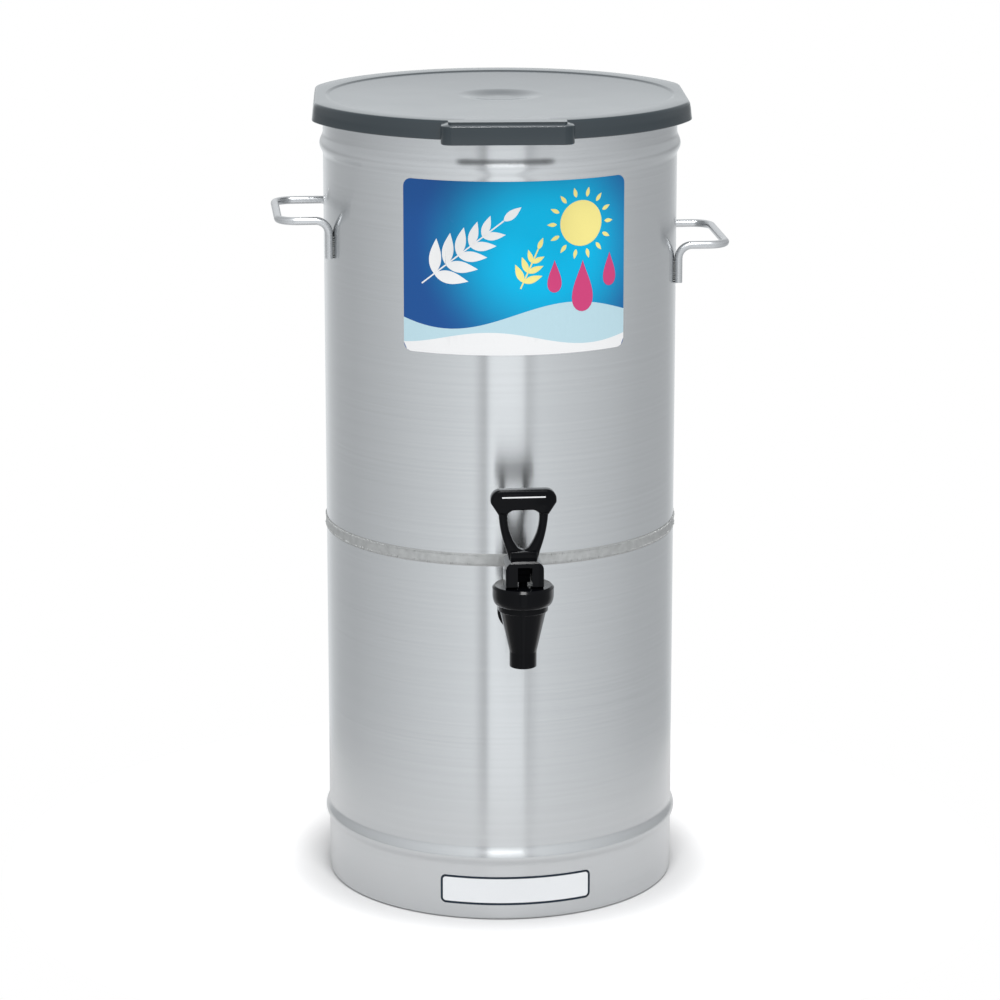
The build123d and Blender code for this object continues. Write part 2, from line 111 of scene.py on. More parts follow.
class DispenserBodySizes(bpy.types.PropertyGroup):
    """Sizes of the rolled body and its seam."""

    radius: length("Body radius", "Outside radius of the rolled sheet", 127.0)
    sheet: length("Sheet", "Thickness of the sheet", 0.9)
    bead_proud: length("Bead", "How far the rolled beads stand out", 2.5)
    lower_bead_low: length("Lower bead", "Height of the lower bead's start", 39.8)
    lower_bead_height: length("Lower bead height", "Height of the lower bead", 23.2)
    upper_bead_drop: length("Upper bead drop", "From the rim down to the upper bead", 15.2)
    upper_bead_height: length("Upper bead height", "Height of the upper bead", 24.4)
    curl: length("Rim curl", "Inside radius of the curled rim", 0.7)
    foot_width: length("Foot width", "Width of the turned-in foot", 10.0)
    foot_bend: length("Foot bend", "Outside radius of the foot's bend", 2.5)
    pan_knuckle: length("Pan knuckle", "Outside radius of the pan's corner", 10.0)
    hole: length("Tap hole", "Radius of the hole for the tap's shank", 11.3)
    weld_rough: length("Weld roughness", "How far the seam's surface wanders", 0.2)
    ripple: length("Weld ripple", "Radius of one ripple of the seam", 0.8)
    ripples: count("Weld ripples", "Ripples in the seam all round", 520)


class DispenserHandleSizes(bpy.types.PropertyGroup):
    """Sizes of the bent wire handles."""

    wire: length("Wire radius", "Radius of the handle wire", 2.85)
    corner: length("Corner", "Bend radius of the outer corners", 13.0)
    leg_bend: length("Leg bend", "Bend radius above each leg", 9.5)
    leg: length("Leg", "Drop of each leg below the arm", 27.0)
    leg_gap: length("Leg gap", "Gap between a leg and the wall", 0.05)
    weld: length("Weld bead", "Radius of the weld ripples beside each leg", 0.5)
    weld_length: length("Weld length", "Length of the weld along each leg", 15.0)
    weld_offset: length("Weld offset", "From a leg's middle line to its weld", 1.3)
    ripples: count("Weld ripples", "Ripples in each weld", 11)


class DispenserLidSizes(bpy.types.PropertyGroup):
    """Sizes of the moulded lid."""

    overhang: length("Overhang", "How far the lid reaches past the body", 14.0)
    side_overhang: length("Side overhang", "How far the flats reach past the body", 5.8)
    flare: length("Flare", "How far the skirt spreads at its foot", 1.4)
    wall: length("Wall", "Thickness of the moulding", 2.5)
    skirt: length("Skirt", "Height of the skirt", 13.0)
    corner: length("Corner", "Plan radius where the flats begin", 35.0)
    edge: length("Edge", "Radius of the top edge", 2.2)
    recess_margin: length("Recess margin", "From the rim to the recess", 17.0)
    recess: length("Recess", "Depth of the recess", 1.0)
    dimple: length("Dimple", "Radius of the dimple in the middle", 32.0)
    dimple_foot: length("Dimple foot", "Radius of the dimple's flat bottom", 8.0)
    dimple_depth: length("Dimple depth", "Depth of the dimple", 2.2)
    recess_slope: length("Recess slope", "Width of the slope round the recess", 3.6)
    recess_start: length("Recess start", "How far the slope starts past the recess", 1.6)
    rib: length("Rib", "Depth of the locating rib", 8.0)
    rib_width: length("Rib width", "Thickness of the locating rib", 2.0)
    rib_gap: length("Rib gap", "Gap between the rib and the tank", 0.8)
    blunt: length("Blunt", "Blunting of the skirt's lower edge", 0.5)
    tab_width: length("Tab width", "Width of the front grip tab", 91.0)
    tab_reach: length("Tab reach", "How far the tab stands out from the lid", 11.0)
    tab_lip: length("Tab lip", "How far the tab stands above the lid", 0.7)
    tab_corner: length("Tab corner", "Plan radius of the tab's corners", 7.0)
    tab_edge: length("Tab edge", "Radius of the tab's front edge", 0.7)
    tab_step: length("Tab step", "Height of the step behind the tab's ledge", 1.4)
    tab_ledge: length("Tab ledge", "Depth of the sloping ledge along the tab's front", 4.4)
    tab_slope: angle("Tab slope", "Slope of the ledge", 12)
    tab_root: length("Tab root", "How far the tab runs in behind the skirt", 3.0)


class DispenserPrintSizes(bpy.types.PropertyGroup):
    """Sizes of the front label and the skirt's plate."""

    label_width: length("Label width", "Width of the label along the wall", 165.0)
    label_corner: length("Label corner", "Radius of the label's corners", 6.0)
    glue: length("Glue", "Gap between the wall and a film", 0.04)
    film: length("Film", "Thickness of the label", 0.16)
    ink: length("Ink", "Thickness of one printed layer", 0.05)
    plate_width: length("Plate width", "Width of the plate along the wall", 111.0)
    plate_corner: length("Plate corner", "Radius of the plate's corners", 4.0)
    plate_thickness: length("Plate thickness", "Thickness of the plate", 0.36)
    plate_line: length("Plate line", "Width of the line round the plate", 1.7)


class DispenserTapSizes(bpy.types.PropertyGroup):
    """Sizes of the tap, its bonnet and its lever."""

    tip_radius: length("Tip radius", "Outside radius of the spout's end", 9.5)
    tip_length: length("Tip length", "Height of the spout's straight end", 11.0)
    bore: length("Bore", "Radius of the spout's bore", 6.5)
    cone_height: length("Cone height", "Height of the cone", 29.5)
    cone_radius: length("Cone radius", "Radius at the cone's top", 16.2)
    collar_radius: length("Collar radius", "Radius of the collar under the bonnet", 17.4)
    collar_height: length("Collar height", "Height of the collar", 4.3)
    neck_radius: length("Neck radius", "Radius of the threaded neck", 15.5)
    chamber: length("Chamber radius", "Radius of the valve chamber", 10.0)
    shank_height: length("Shank height", "From the spout's tip to the shank's axis", 30.0)
    stub_radius: length("Stub radius", "Radius of the arm between cone and shoulder", 12.0)
    flange_radius: length("Shoulder radius", "Radius of the shoulder on the wall", 14.6)
    flange_thickness: length("Shoulder thickness", "Thickness of the shoulder", 4.0)
    gasket: length("Gasket", "Gap between the shoulder and the wall", 3.0)
    seat_drop: length("Seat drop", "From the shank's axis down to the seat", 8.0)
    shank_radius: length("Shank radius", "Radius of the shank through the wall", 11.0)
    shank_bore: length("Shank bore", "Bore of the shank", 7.0)
    bonnet_foot: length("Bonnet foot", "Radius at the bonnet's lower edge", 17.9)
    bonnet_edge: length("Bonnet edge", "Radius of the bonnet's top edge", 1.6)
    bonnet_band: length("Bonnet band", "Height of the bonnet's straight side", 5.0)
    bonnet_roof: length("Bonnet roof", "Thickness of the bonnet's roof", 4.0)
    stem_hole: length("Stem hole", "Radius of the hole for the stem", 3.1)
    block_width: length("Block width", "Width of the block above the fork", 18.6)
    block_depth: length("Block depth", "Depth of the block above the fork", 12.0)
    block_height: length("Block height", "Height of the block above the fork", 8.5)
    block_rise: length("Block rise", "From the pin up to the block's middle", 11.2)
    loop_foot: length("Loop foot", "From the pin up to the loop's foot", 15.6)
    loop_corner: length("Loop corner", "Radius of the opening's upper corners", 4.2)
    loop_depth: length("Loop depth", "Depth of the loop's sides", 6.8)
    loop_edge: length("Loop edge", "Radius of the loop's edges", 2.2)
    loop_outer_top: length("Loop width", "Width of the loop under the bar", 34.7)
    loop_outer_low: length("Loop foot width", "Width of the loop at its foot", 23.5)
    opening_top: length("Opening width", "Width of the finger opening", 21.9)
    opening_low: length("Opening foot width", "Width of the opening at its foot", 7.2)
    bar_depth: length("Bar depth", "Depth of the top bar", 9.2)
    bar_height: length("Bar height", "Height of the top bar", 14.5)
    slot: length("Fork slot", "Width of the slot in the lever's foot", 10.0)
    fork_shoulder: length("Fork shoulder", "Radius of the fork's upper corners", 6.2)
    fork_roof: length("Fork roof", "From the pin up to the fork's roof", 10.1)
    fork_slant: length("Fork slant", "Slant of the fork's front below its roof", 1.3)
    fork_edge: length("Fork edge", "Radius of the fork's upright edges", 4.2)
    pin_eye: length("Pin eye", "Radius of the pin's hole", 2.05)
    pin_cover: length("Pin cover", "How far the fork reaches past the pin's ends", 0.6)
    heel: length("Heel", "From the pin forward to the heel", 8.0)
    heel_gap: length("Heel gap", "Gap between the heel and the bonnet", 0.2)
    tilt: angle("Tilt", "How far the lever tilts when it is pulled", 28)


class DispenserColours(bpy.types.PropertyGroup):
    """Base colours of the finishes, as linear values."""

    steel: colour("Steel", "Brushed sheet", 0.552, 0.564, 0.573)
    weld: colour("Weld", "Rough seam", 0.50, 0.505, 0.50)
    wire: colour("Wire", "Polished handle wire", 0.53, 0.54, 0.55)
    lid: colour("Lid", "Slate plastic", 0.008, 0.018, 0.025)
    tap: colour("Tap", "Black plastic", 0.0016, 0.0018, 0.0028)
    deep_blue: colour("Deep blue", "Label's dark side", 0.014, 0.085, 0.30)
    cyan: colour("Cyan", "Label's light side", 0.0, 0.47, 0.79)
    ice: colour("Ice", "Pale print", 0.50, 0.70, 0.78)
    white: colour("White", "White print", 0.86, 0.87, 0.88)
    yellow: colour("Yellow", "Pale yellow print", 0.90, 0.80, 0.28)
    pink: colour("Pink", "Deep pink print", 0.62, 0.06, 0.20)
    plate: colour("Plate", "White plate", 0.82, 0.84, 0.86)
    ink: colour("Ink", "Dark outline", 0.02, 0.03, 0.045)
    silicone: colour("Silicone", "Seals and gaskets", 0.62, 0.62, 0.59)
    # Painted shade: the pin is made near black so that the fork's slot reads as a dark hollow.
    pin: colour("Pin", "Blackened pin of the lever", 0.004, 0.004, 0.005)
    floor: colour("Floor", "Floor under the dispenser", 0.74, 0.74, 0.745)


class DispenserStudio(bpy.types.PropertyGroup):
    """Camera and lamps."""

    camera_turn: angle("Camera turn", "Camera's turn from the front", -5.5)
    camera_tilt: angle("Camera tilt", "Camera's downward tilt", 13.2525)
    camera_reach: length("Camera reach", "Camera's distance from the body's axis", 2645.9)
    camera_height: length("Camera height", "Camera's height above the floor", 947.2)
    lens: factor("Lens", "Focal length in millimetres on a 36 mm frame", 133.86)
    shift: factor("Shift", "Vertical shift of the lens", -0.06)
    ambient: factor("Ambient", "Strength of the surroundings on matt surfaces", 0.74)
    key: factor("Key", "Power of the high front lamp", 14.0)
    spot: factor("Spot", "Power of the small lamp that edges sparkle in", 18.0)
    lamp_turn: angle("Lamp turn", "Turn of both lamps from the front", -1.3)
    lamp_aim: length("Lamp aim", "Height that both lamps point at", 300.0)
    floor_radius: length("Floor", "Radius of the floor", 370.0)
    floor_lift: factor("Floor lift", "Light that the camera alone adds to the floor's rim", 0.45)
    floor_gloss: factor("Floor gloss", "Share of that light that mirrors show", 0.3)
    # Painted shade on the floor: inside these radii the added light fades out towards the body.
    painted_shade_start: length("Shade start", "Where the floor starts to brighten", 127.0)
    painted_shade_end: length("Shade end", "Where the floor is at its brightest", 185.0)


def settings(part):
    """Property group of one part: body, handles, lid, prints, tap, colours or studio."""
    return getattr(bpy.context.scene, "dispenser_" + part)


# Node tree helpers


def add_node(tree, kind, inputs=None, **options):
    """New node with its options set and its inputs linked or filled in."""
    node = tree.nodes.new(kind)
    for name, value in options.items():
        setattr(node, name, value)
    for key, value in (inputs or {}).items():
        if isinstance(value, bpy.types.NodeSocket):
            tree.links.new(value, node.inputs[key])
        else:
            node.inputs[key].default_value = value
    return node


def maths(tree, operation, first, second=0.0):
    """Output of a Math node."""
    return add_node(tree, "ShaderNodeMath", {0: first, 1: second}, operation=operation).outputs[0]


def blend_colours(tree, amount, first, second):
    """Output of a colour Mix node."""
    node = add_node(tree, "ShaderNodeMix", {0: amount, 6: first, 7: second}, data_type="RGBA")
    return node.outputs[2]


def ranged(tree, value, start, end):
    """Value from 0 to 1 spread between two numbers."""
    node = add_node(tree, "ShaderNodeMapRange", {"Value": value, "To Min": start, "To Max": end})
    return node.outputs["Result"]


def rgba(values):
    """Four-part colour for a node socket."""
    return (values[0], values[1], values[2], 1.0)


def new_group(name, inputs, outputs):
    """Shader node group with float inputs; returns the tree and its two end nodes."""
    tree = bpy.data.node_groups.new(name, "ShaderNodeTree")
    for label, value in inputs.items():
        socket = tree.interface.new_socket(name=label, in_out="INPUT",
                                           socket_type="NodeSocketFloat")
        socket.default_value = value
    for label in outputs:
        tree.interface.new_socket(name=label, in_out="OUTPUT", socket_type="NodeSocketFloat")
    return tree, tree.nodes.new("NodeGroupInput"), tree.nodes.new("NodeGroupOutput")


def stretched_noise(tree, scale_x, scale_y, scale_z, detail=2.0, roughness=0.5):
    """Noise on Object coordinates with its own scale along each axis."""
    place = tree.nodes.new("ShaderNodeTexCoord").outputs["Object"]
    scales = add_node(tree, "ShaderNodeCombineXYZ", {0: scale_x, 1: scale_y, 2: scale_z})
    scaled = add_node(tree, "ShaderNodeVectorMath", {0: place, 1: scales.outputs[0]},
                      operation="MULTIPLY")
    node = add_node(tree, "ShaderNodeTexNoise",
                    {"Vector": scaled.outputs[0], "Scale": 1.0, "Detail": detail,
                     "Roughness": roughness})
    return node.outputs["Fac"]


def grain_group():
    """Brush lines that run round the Z axis, as a mask and a height."""
    tree, start, end = new_group("brush_grain", {"Along": 16.0, "Across": 1500.0},
                                 ("Lines", "Patches"))
    along, across = start.outputs["Along"], start.outputs["Across"]
    fine = stretched_noise(tree, along, along, across, detail=3.0, roughness=0.65)
    coarse = stretched_noise(tree, maths(tree, "MULTIPLY", along, 0.3),
                             maths(tree, "MULTIPLY", along, 0.3),
                             maths(tree, "MULTIPLY", across, 0.16), detail=2.0)
    lines = maths(tree, "ADD", maths(tree, "MULTIPLY", fine, 0.65),
                  maths(tree, "MULTIPLY", coarse, 0.35))
    patches = stretched_noise(tree, 9.0, 9.0, 6.0, detail=2.0)
    tree.links.new(lines, end.inputs["Lines"])
    tree.links.new(patches, end.inputs["Patches"])
    return tree


def speckle_group():
    """Even fine grain of a moulded or blasted surface, with broad handling marks."""
    tree, start, end = new_group("fine_speckle", {"Scale": 1500.0, "Marks": 30.0},
                                 ("Grain", "Marks"))
    scale, marks = start.outputs["Scale"], start.outputs["Marks"]
    grain = stretched_noise(tree, scale, scale, scale, detail=2.0, roughness=0.6)
    broad = stretched_noise(tree, marks, marks, marks, detail=3.0, roughness=0.55)
    tree.links.new(grain, end.inputs["Grain"])
    tree.links.new(broad, end.inputs["Marks"])
    return tree


def shared_group(name, maker):
    """A node group by name, built the first time it is asked for."""
    return bpy.data.node_groups.get(name) or maker()


def group_node(tree, name, maker, **values):
    """Shared node group placed in a material, with its inputs set."""
    node = tree.nodes.new("ShaderNodeGroup")
    node.node_tree = shared_group(name, maker)
    for label, value in values.items():
        node.inputs[label].default_value = value
    return node


def speckle_node(tree, scale, marks):
    """Speckle group placed in a material."""
    return group_node(tree, "fine_speckle", speckle_group, Scale=scale, Marks=marks)


def new_finish(name):
    """Empty material with a Principled shader; returns the material, its tree and the shader."""
    material = bpy.data.materials.new(name)
    material.use_nodes = True
    tree = material.node_tree
    shader = tree.nodes["Principled BSDF"]
    return material, tree, shader


def relief(tree, shader, height, strength, distance):
    """Feed a height into the shader's normal through a Bump node."""
    bump = add_node(tree, "ShaderNodeBump",
                    {"Height": height, "Strength": strength, "Distance": distance})
    tree.links.new(bump.outputs["Normal"], shader.inputs["Normal"])


def tinted(tree, shader, base, spread, mask):
    """Base colour that a mask makes darker and lighter by a share of itself."""
    dark = rgba([channel * (1 - spread) for channel in base])
    light = rgba([min(1.0, channel * (1 + spread)) for channel in base])
    tree.links.new(blend_colours(tree, mask, dark, light), shader.inputs["Base Color"])


def brushed_steel():
    """Rolled sheet, brushed round the body, so that highlights smear upwards."""
    material, tree, shader = new_finish("brushed_steel")
    grain = group_node(tree, "brush_grain", grain_group, Along=9.0, Across=3200.0)
    lines, patches = grain.outputs["Lines"], grain.outputs["Patches"]
    tinted(tree, shader, settings("colours").steel, 0.06, ranged(tree, lines, -0.3, 1.3))
    shader.inputs["Metallic"].default_value = 1.0
    rough = maths(tree, "ADD", ranged(tree, lines, 0.20, 0.24),
                  ranged(tree, patches, -0.015, 0.015))
    tree.links.new(rough, shader.inputs["Roughness"])
    shader.inputs["Anisotropic"].default_value = 0.95
    shader.inputs["Anisotropic Rotation"].default_value = 0.25
    relief(tree, shader, lines, 0.015, 0.0002)
    return material


def seam_steel():
    """Welded and blasted band, dull in its middle, with painted shade along both of its edges."""
    material, tree, shader = new_finish("seam_steel")
    speckle = speckle_node(tree, 900.0, 210.0)
    middle, tall = upright("seam_weld")
    place = tree.nodes.new("ShaderNodeTexCoord").outputs["Object"]
    height = add_node(tree, "ShaderNodeSeparateXYZ", {0: place}).outputs["Z"]
    away = maths(tree, "ABSOLUTE", maths(tree, "SUBTRACT", height, middle))
    # Painted shade: the weld's colour darkens towards both edges of the band, where an undercut
    # would lie in shadow.
    edge = add_node(tree, "ShaderNodeMapRange",
                    {"Value": away, "From Min": tall * 0.37, "From Max": tall * 0.46})
    weld = settings("colours").weld
    dark, light = [rgba([channel * share for channel in weld]) for share in (0.72, 1.15)]
    body = blend_colours(tree, speckle.outputs["Marks"], dark, light)
    shade = rgba([channel * 0.8 for channel in weld])
    tree.links.new(blend_colours(tree, edge.outputs["Result"], body, shade),
                   shader.inputs["Base Color"])
    shader.inputs["Metallic"].default_value = 1.0
    tree.links.new(ranged(tree, speckle.outputs["Grain"], 0.42, 0.62), shader.inputs["Roughness"])
    relief(tree, shader, speckle.outputs["Grain"], 0.4, 0.0004)
    return material


def speckled(name, base, spread, scales, rough, tint="Marks", worn="Grain", metallic=0.0,
             specular=0.5, bump=0.0, depth=0.0001):
    """Finish whose tint, roughness and relief all follow one speckle."""
    material, tree, shader = new_finish(name)
    speckle = speckle_node(tree, *scales).outputs
    tinted(tree, shader, base, spread, speckle[tint])
    tree.links.new(ranged(tree, speckle[worn], *rough), shader.inputs["Roughness"])
    shader.inputs["Metallic"].default_value = metallic
    shader.inputs["Specular IOR Level"].default_value = specular
    if bump:
        relief(tree, shader, speckle["Grain"], bump, depth)
    return material, tree, shader


def add_sheen(tree, shader, start, full, weight, roughness):
    """Clear coat that shows only where the surface turns away from the eye."""
    grazing = add_node(tree, "ShaderNodeLayerWeight", {"Blend": 0.5}).outputs["Facing"]
    sheen = add_node(tree, "ShaderNodeMapRange",
                     {"Value": grazing, "From Min": start, "From Max": full, "To Max": weight})
    tree.links.new(sheen.outputs["Result"], shader.inputs["Coat Weight"])
    shader.inputs["Coat Roughness"].default_value = roughness


def slate_plastic():
    """Moulded lid plastic with a fine satin texture and a cool sheen at its far side."""
    material, tree, shader = speckled("slate_plastic", settings("colours").lid, 0.12,
                                      (1400.0, 14.0), (0.13, 0.22), worn="Marks",
                                      specular=0.70, bump=0.03)
    add_sheen(tree, shader, 0.55, 0.90, 0.33, 0.2)
    shader.inputs["Coat Tint"].default_value = (0.94, 0.985, 1.0, 1.0)
    return material


def black_plastic():
    """Polished black moulding with faint swirl marks and bright rims."""
    material, tree, shader = speckled("black_plastic", settings("colours").tap, 0.3,
                                      (500.0, 45.0), (0.09, 0.20), worn="Marks",
                                      specular=0.09, bump=0.03)
    add_sheen(tree, shader, 0.45, 0.75, 1.0, 0.12)
    return material


def label_film():
    """Blue film that lightens to cyan round a spot right of its middle."""
    material, tree, shader = new_finish("label_film")
    colours = settings("colours")
    box_low, box_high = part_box("front_label")
    half = box_high.x
    spot = (0.26 * half, box_low.y, box_low.z + 0.62 * (box_high.z - box_low.z))
    place = tree.nodes.new("ShaderNodeTexCoord").outputs["Object"]
    away = add_node(tree, "ShaderNodeVectorMath", {0: place, 1: spot}, operation="DISTANCE")
    level = add_node(tree, "ShaderNodeMapRange",
                     {"Value": away.outputs["Value"], "From Min": 0.30 * half,
                      "From Max": 1.22 * half, "To Min": 1.0, "To Max": 0.0})
    wander = ranged(tree, stretched_noise(tree, 24.0, 24.0, 24.0), -0.05, 0.05)
    level = maths(tree, "ADD", level.outputs["Result"], wander)
    ramp = add_node(tree, "ShaderNodeValToRGB", {0: level})
    ramp.color_ramp.interpolation = "EASE"
    ramp.color_ramp.elements[0].color = rgba(colours.deep_blue)
    ramp.color_ramp.elements[1].color = rgba(colours.cyan)
    tree.links.new(ramp.outputs["Color"], shader.inputs["Base Color"])
    shader.inputs["Specular IOR Level"].default_value = 0.15
    speckle = speckle_node(tree, 2200.0, 35.0)
    tree.links.new(ranged(tree, speckle.outputs["Marks"], 0.20, 0.30), shader.inputs["Roughness"])
    relief(tree, shader, speckle.outputs["Grain"], 0.03, 0.0001)
    return material


# Finishes with nothing but a speckle: colour, spread of its tint, scales of grain and marks,
# roughness from and to, and the options that differ
PLAIN_FINISHES = {
    "rough_weld": ("weld", 0.4, (900.0, 160.0), (0.44, 0.62),
                   {"metallic": 1.0, "bump": 0.3, "depth": 0.0004}),
    "drawn_wire": ("wire", 0.07, (700.0, 60.0), (0.24, 0.32), {"metallic": 1.0, "bump": 0.02}),
    "inner_steel": ("wire", 0.12, (1200.0, 200.0), (0.2, 0.34), {"metallic": 1.0}),
    # Painted shade: the lever's pin in near black, standing in for the dark of the fork's slot.
    "dark_steel": ("pin", 0.15, (1200.0, 200.0), (0.5, 0.6), {"metallic": 1.0}),
    # The stem's black is the tap plastic's colour; its dull finish with almost no gloss is painted
    # shade, so that the fork's slot reads as deep shadow.
    "dull_black": ("tap", 0.3, (700.0, 60.0), (0.5, 0.65), {"specular": 0.03, "bump": 0.05}),
    "soft_silicone": ("silicone", 0.08, (900.0, 120.0), (0.45, 0.6),
                      {"bump": 0.08, "depth": 0.0002}),
}
PRINTED_FILM = (0.05, (2200.0, 35.0), (0.24, 0.33),
                {"tint": "Grain", "worn": "Marks", "specular": 0.15, "bump": 0.03})
for print_name, print_colour in (("ice_print", "ice"), ("white_print", "white"),
                                 ("yellow_print", "yellow"), ("pink_print", "pink"),
                                 ("plate_film", "plate"), ("dark_ink", "ink")):
    PLAIN_FINISHES[print_name] = (print_colour, *PRINTED_FILM)
OWN_FINISHES = {
    "brushed_steel": brushed_steel,
    "seam_steel": seam_steel,
    "slate_plastic": slate_plastic,
    "black_plastic": black_plastic,
    "label_film": label_film,
}


def finish(name):
    """A material by name, made the first time it is asked for."""
    made = bpy.data.materials.get(name)
    if made:
        return made
    if name in OWN_FINISHES:
        return OWN_FINISHES[name]()
    tone, spread, scales, rough, options = PLAIN_FINISHES[name]
    return speckled(name, getattr(settings("colours"), tone), spread, scales, rough, **options)[0]


# Mesh helpers


def put(name, data):
    """New object in the scene, at the origin."""
    piece = bpy.data.objects.new(name, data)
    bpy.context.scene.collection.objects.link(piece)
    return piece


def dress(name, mesh, look, body, slot, *nodes):
    """Visible piece with its finish, riding on a body, in place of its CAD nodes; the slot
    argument is not used.
    """
    if look:
        mesh.materials.append(finish(look))
    for face in mesh.polygons:
        face.use_smooth = True
    mesh.set_sharp_from_angle(angle=SMOOTH_ANGLE)
    piece = put(name, mesh)
    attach(piece, body)
    if nodes:
        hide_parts(*nodes)


def mesh_from(name, bm):
    """Mesh from a bmesh with merged doubles and outward normals."""
    bmesh.ops.remove_doubles(bm, verts=bm.verts, dist=TINY * 20)
    bmesh.ops.recalc_face_normals(bm, faces=bm.faces)
    mesh = bpy.data.meshes.new(name)
    bm.to_mesh(mesh)
    bm.free()
    return mesh


def arc(centre, radius, start, end, steps):
    """Points along an arc in a plane, from one angle to another in degrees."""
    points = []
    for step in range(steps + 1):
        turn = math.radians(start + (end - start) * step / steps)
        points.append((centre[0] + radius * math.cos(turn), centre[1] + radius * math.sin(turn)))
    return points


def rounded(corners, steps=6):
    """Closed outline from (x, y, radius) corners, with each corner turned into an arc."""
    outline = []
    total = len(corners)
    for index, (x, y, radius) in enumerate(corners):
        here = Vector((x, y))
        if radius <= 0:
            outline.append(tuple(here))
            continue
        before = Vector(corners[index - 1][:2]) - here
        after = Vector(corners[(index + 1) % total][:2]) - here
        half = before.angle(after) / 2
        reach = radius / math.tan(half)
        first = here + before.normalized() * reach
        last = here + after.normalized() * reach
        centre = here + (before.normalized() + after.normalized()).normalized() * (
            radius / math.sin(half))
        sweep = (first - centre).angle_signed(last - centre)
        for step in range(steps + 1):
            turned = Matrix.Rotation(-sweep * step / steps, 2) @ (first - centre)
            outline.append(tuple(centre + turned))
    return outline


def circle(radius, steps, z):
    """Points of a level circle round the Z axis."""
    turns = [FULL_TURN * step / steps for step in range(steps)]
    return [(radius * math.cos(turn), radius * math.sin(turn), z) for turn in turns]


def bridge(bm, first, second):
    """Close the strip between two rings of as many points."""
    steps = len(first)
    for step in range(steps):
        after = (step + 1) % steps
        corners = []
        for vert in (first[step], first[after], second[after], second[step]):
            if vert not in corners:
                corners.append(vert)
        if len(corners) > 2:
            bm.faces.new(corners)


def ring_stack(bm, rings, closed=True):
    """Rings of 3D points with the strips between them closed."""
    made = [[bm.verts.new(point) for point in ring] for ring in rings]
    strips = len(made) if closed else len(made) - 1
    for index in range(strips):
        bridge(bm, made[index], made[(index + 1) % len(made)])
    return made


def turned_mesh(name, outline, steps):
    """Closed mesh turned round Z from an outline of (radius, height) points."""
    bm = bmesh.new()
    rings = []
    for radius, height in outline:
        if radius < TINY:
            rings.append([bm.verts.new((0, 0, height))] * steps)
        else:
            rings.append([bm.verts.new(point) for point in circle(radius, steps, height)])
    for index, ring in enumerate(rings):
        bridge(bm, ring, rings[(index + 1) % len(rings)])
    return mesh_from(name, bm)


def carve(mesh, cutters, operation):
    """Mesh after exact booleans with each cutter mesh in turn."""
    piece = put(mesh.name, mesh)
    helpers = [put(cutter.name, cutter) for cutter in cutters]
    for helper in helpers:
        modifier = piece.modifiers.new("cut", "BOOLEAN")
        modifier.operation = operation
        modifier.solver = "EXACT"
        modifier.object = helper
    result = baked(piece, mesh.name)
    for helper in [piece, *helpers]:
        bpy.data.objects.remove(helper)
    return result


def baked(piece, name):
    """Plain mesh of an object with its modifiers applied."""
    graph = bpy.context.evaluated_depsgraph_get()
    result = bpy.data.meshes.new_from_object(piece.evaluated_get(graph))
    result.name = name
    return result


def moved(mesh, matrix):
    """The same mesh after a transform."""
    mesh.transform(matrix)
    return mesh


def half_bead(radius, start, end, proud, steps=8):
    """Half of a rolled bead, from the wall at one height to the crest at another."""
    points = []
    for step in range(steps + 1):
        share = step / steps
        rise = (1 - math.cos(math.pi * share)) / 2
        points.append((radius + proud * rise, start + (end - start) * share))
    return points


def bead(radius, start, height, proud):
    """Whole rolled bead from bottom to top, with its crest below the middle."""
    crest, end = start + height * 0.32, start + height * 0.68
    return (half_bead(radius, start, crest, proud)
            + half_bead(radius, end, crest, proud)[::-1][1:] + [(radius, start + height)])


# Body


def tank_outline():
    """Outline of the tank's wall, with its bead and curled rim."""
    body = settings("body")
    start, rim = low("tank_shell").z, high("tank_shell").z
    bead_low = rim - body.upper_bead_drop - body.upper_bead_height
    centre = (body.radius + body.curl, rim - body.curl - body.sheet)
    inside = body.radius - body.sheet
    outer = [(body.radius, start), *bead(body.radius, bead_low, body.upper_bead_height,
                                         body.bead_proud)]
    outer += arc(centre, body.curl, 180, -70, 12)
    inner = [(inside, start), *bead(inside, bead_low, body.upper_bead_height, body.bead_proud)]
    inner += arc(centre, body.curl + body.sheet, 180, -70, 16)
    return outer + inner[::-1]


def stand_outline():
    """Outline of the stand's wall, with its foot and the lower bead."""
    body = settings("body")
    top = high("stand_shell").z
    inside = body.radius - body.sheet
    foot = body.radius - body.foot_width
    bend = (body.radius - body.foot_bend, body.foot_bend)
    outer = [(foot, 0.0), *arc(bend, body.foot_bend, -90, 0, 6)]
    outer += bead(body.radius, body.lower_bead_low, body.lower_bead_height, body.bead_proud)
    outer += [(body.radius, top)]
    inner = [(foot, body.sheet), *arc(bend, body.foot_bend - body.sheet, -90, 0, 6)]
    inner += bead(inside, body.lower_bead_low, body.lower_bead_height, body.bead_proud)
    inner += [(inside, top)]
    return outer + inner[::-1]


def pan_outline():
    """Outline of the tank's floor pan."""
    body = settings("body")
    floor, top = low("tank_pan").z, high("tank_pan").z
    outside = high("tank_pan").x
    inside = outside - body.sheet
    centre = (outside - body.pan_knuckle, floor + body.pan_knuckle)
    outer = [(0.0, floor), *arc(centre, body.pan_knuckle, -90, 0, 10), (outside, top)]
    inner = [(0.0, floor + body.sheet)]
    inner += arc(centre, body.pan_knuckle - body.sheet, -90, 0, 10) + [(inside, top)]
    return outer + inner[::-1]


def along_shank(mesh):
    """A mesh turned round Z, laid along the shank's axis."""
    mesh.transform(Matrix.Rotation(-QUARTER, 4, "X"))
    return moved(mesh, Matrix.Translation((0, 0, shank_z())))


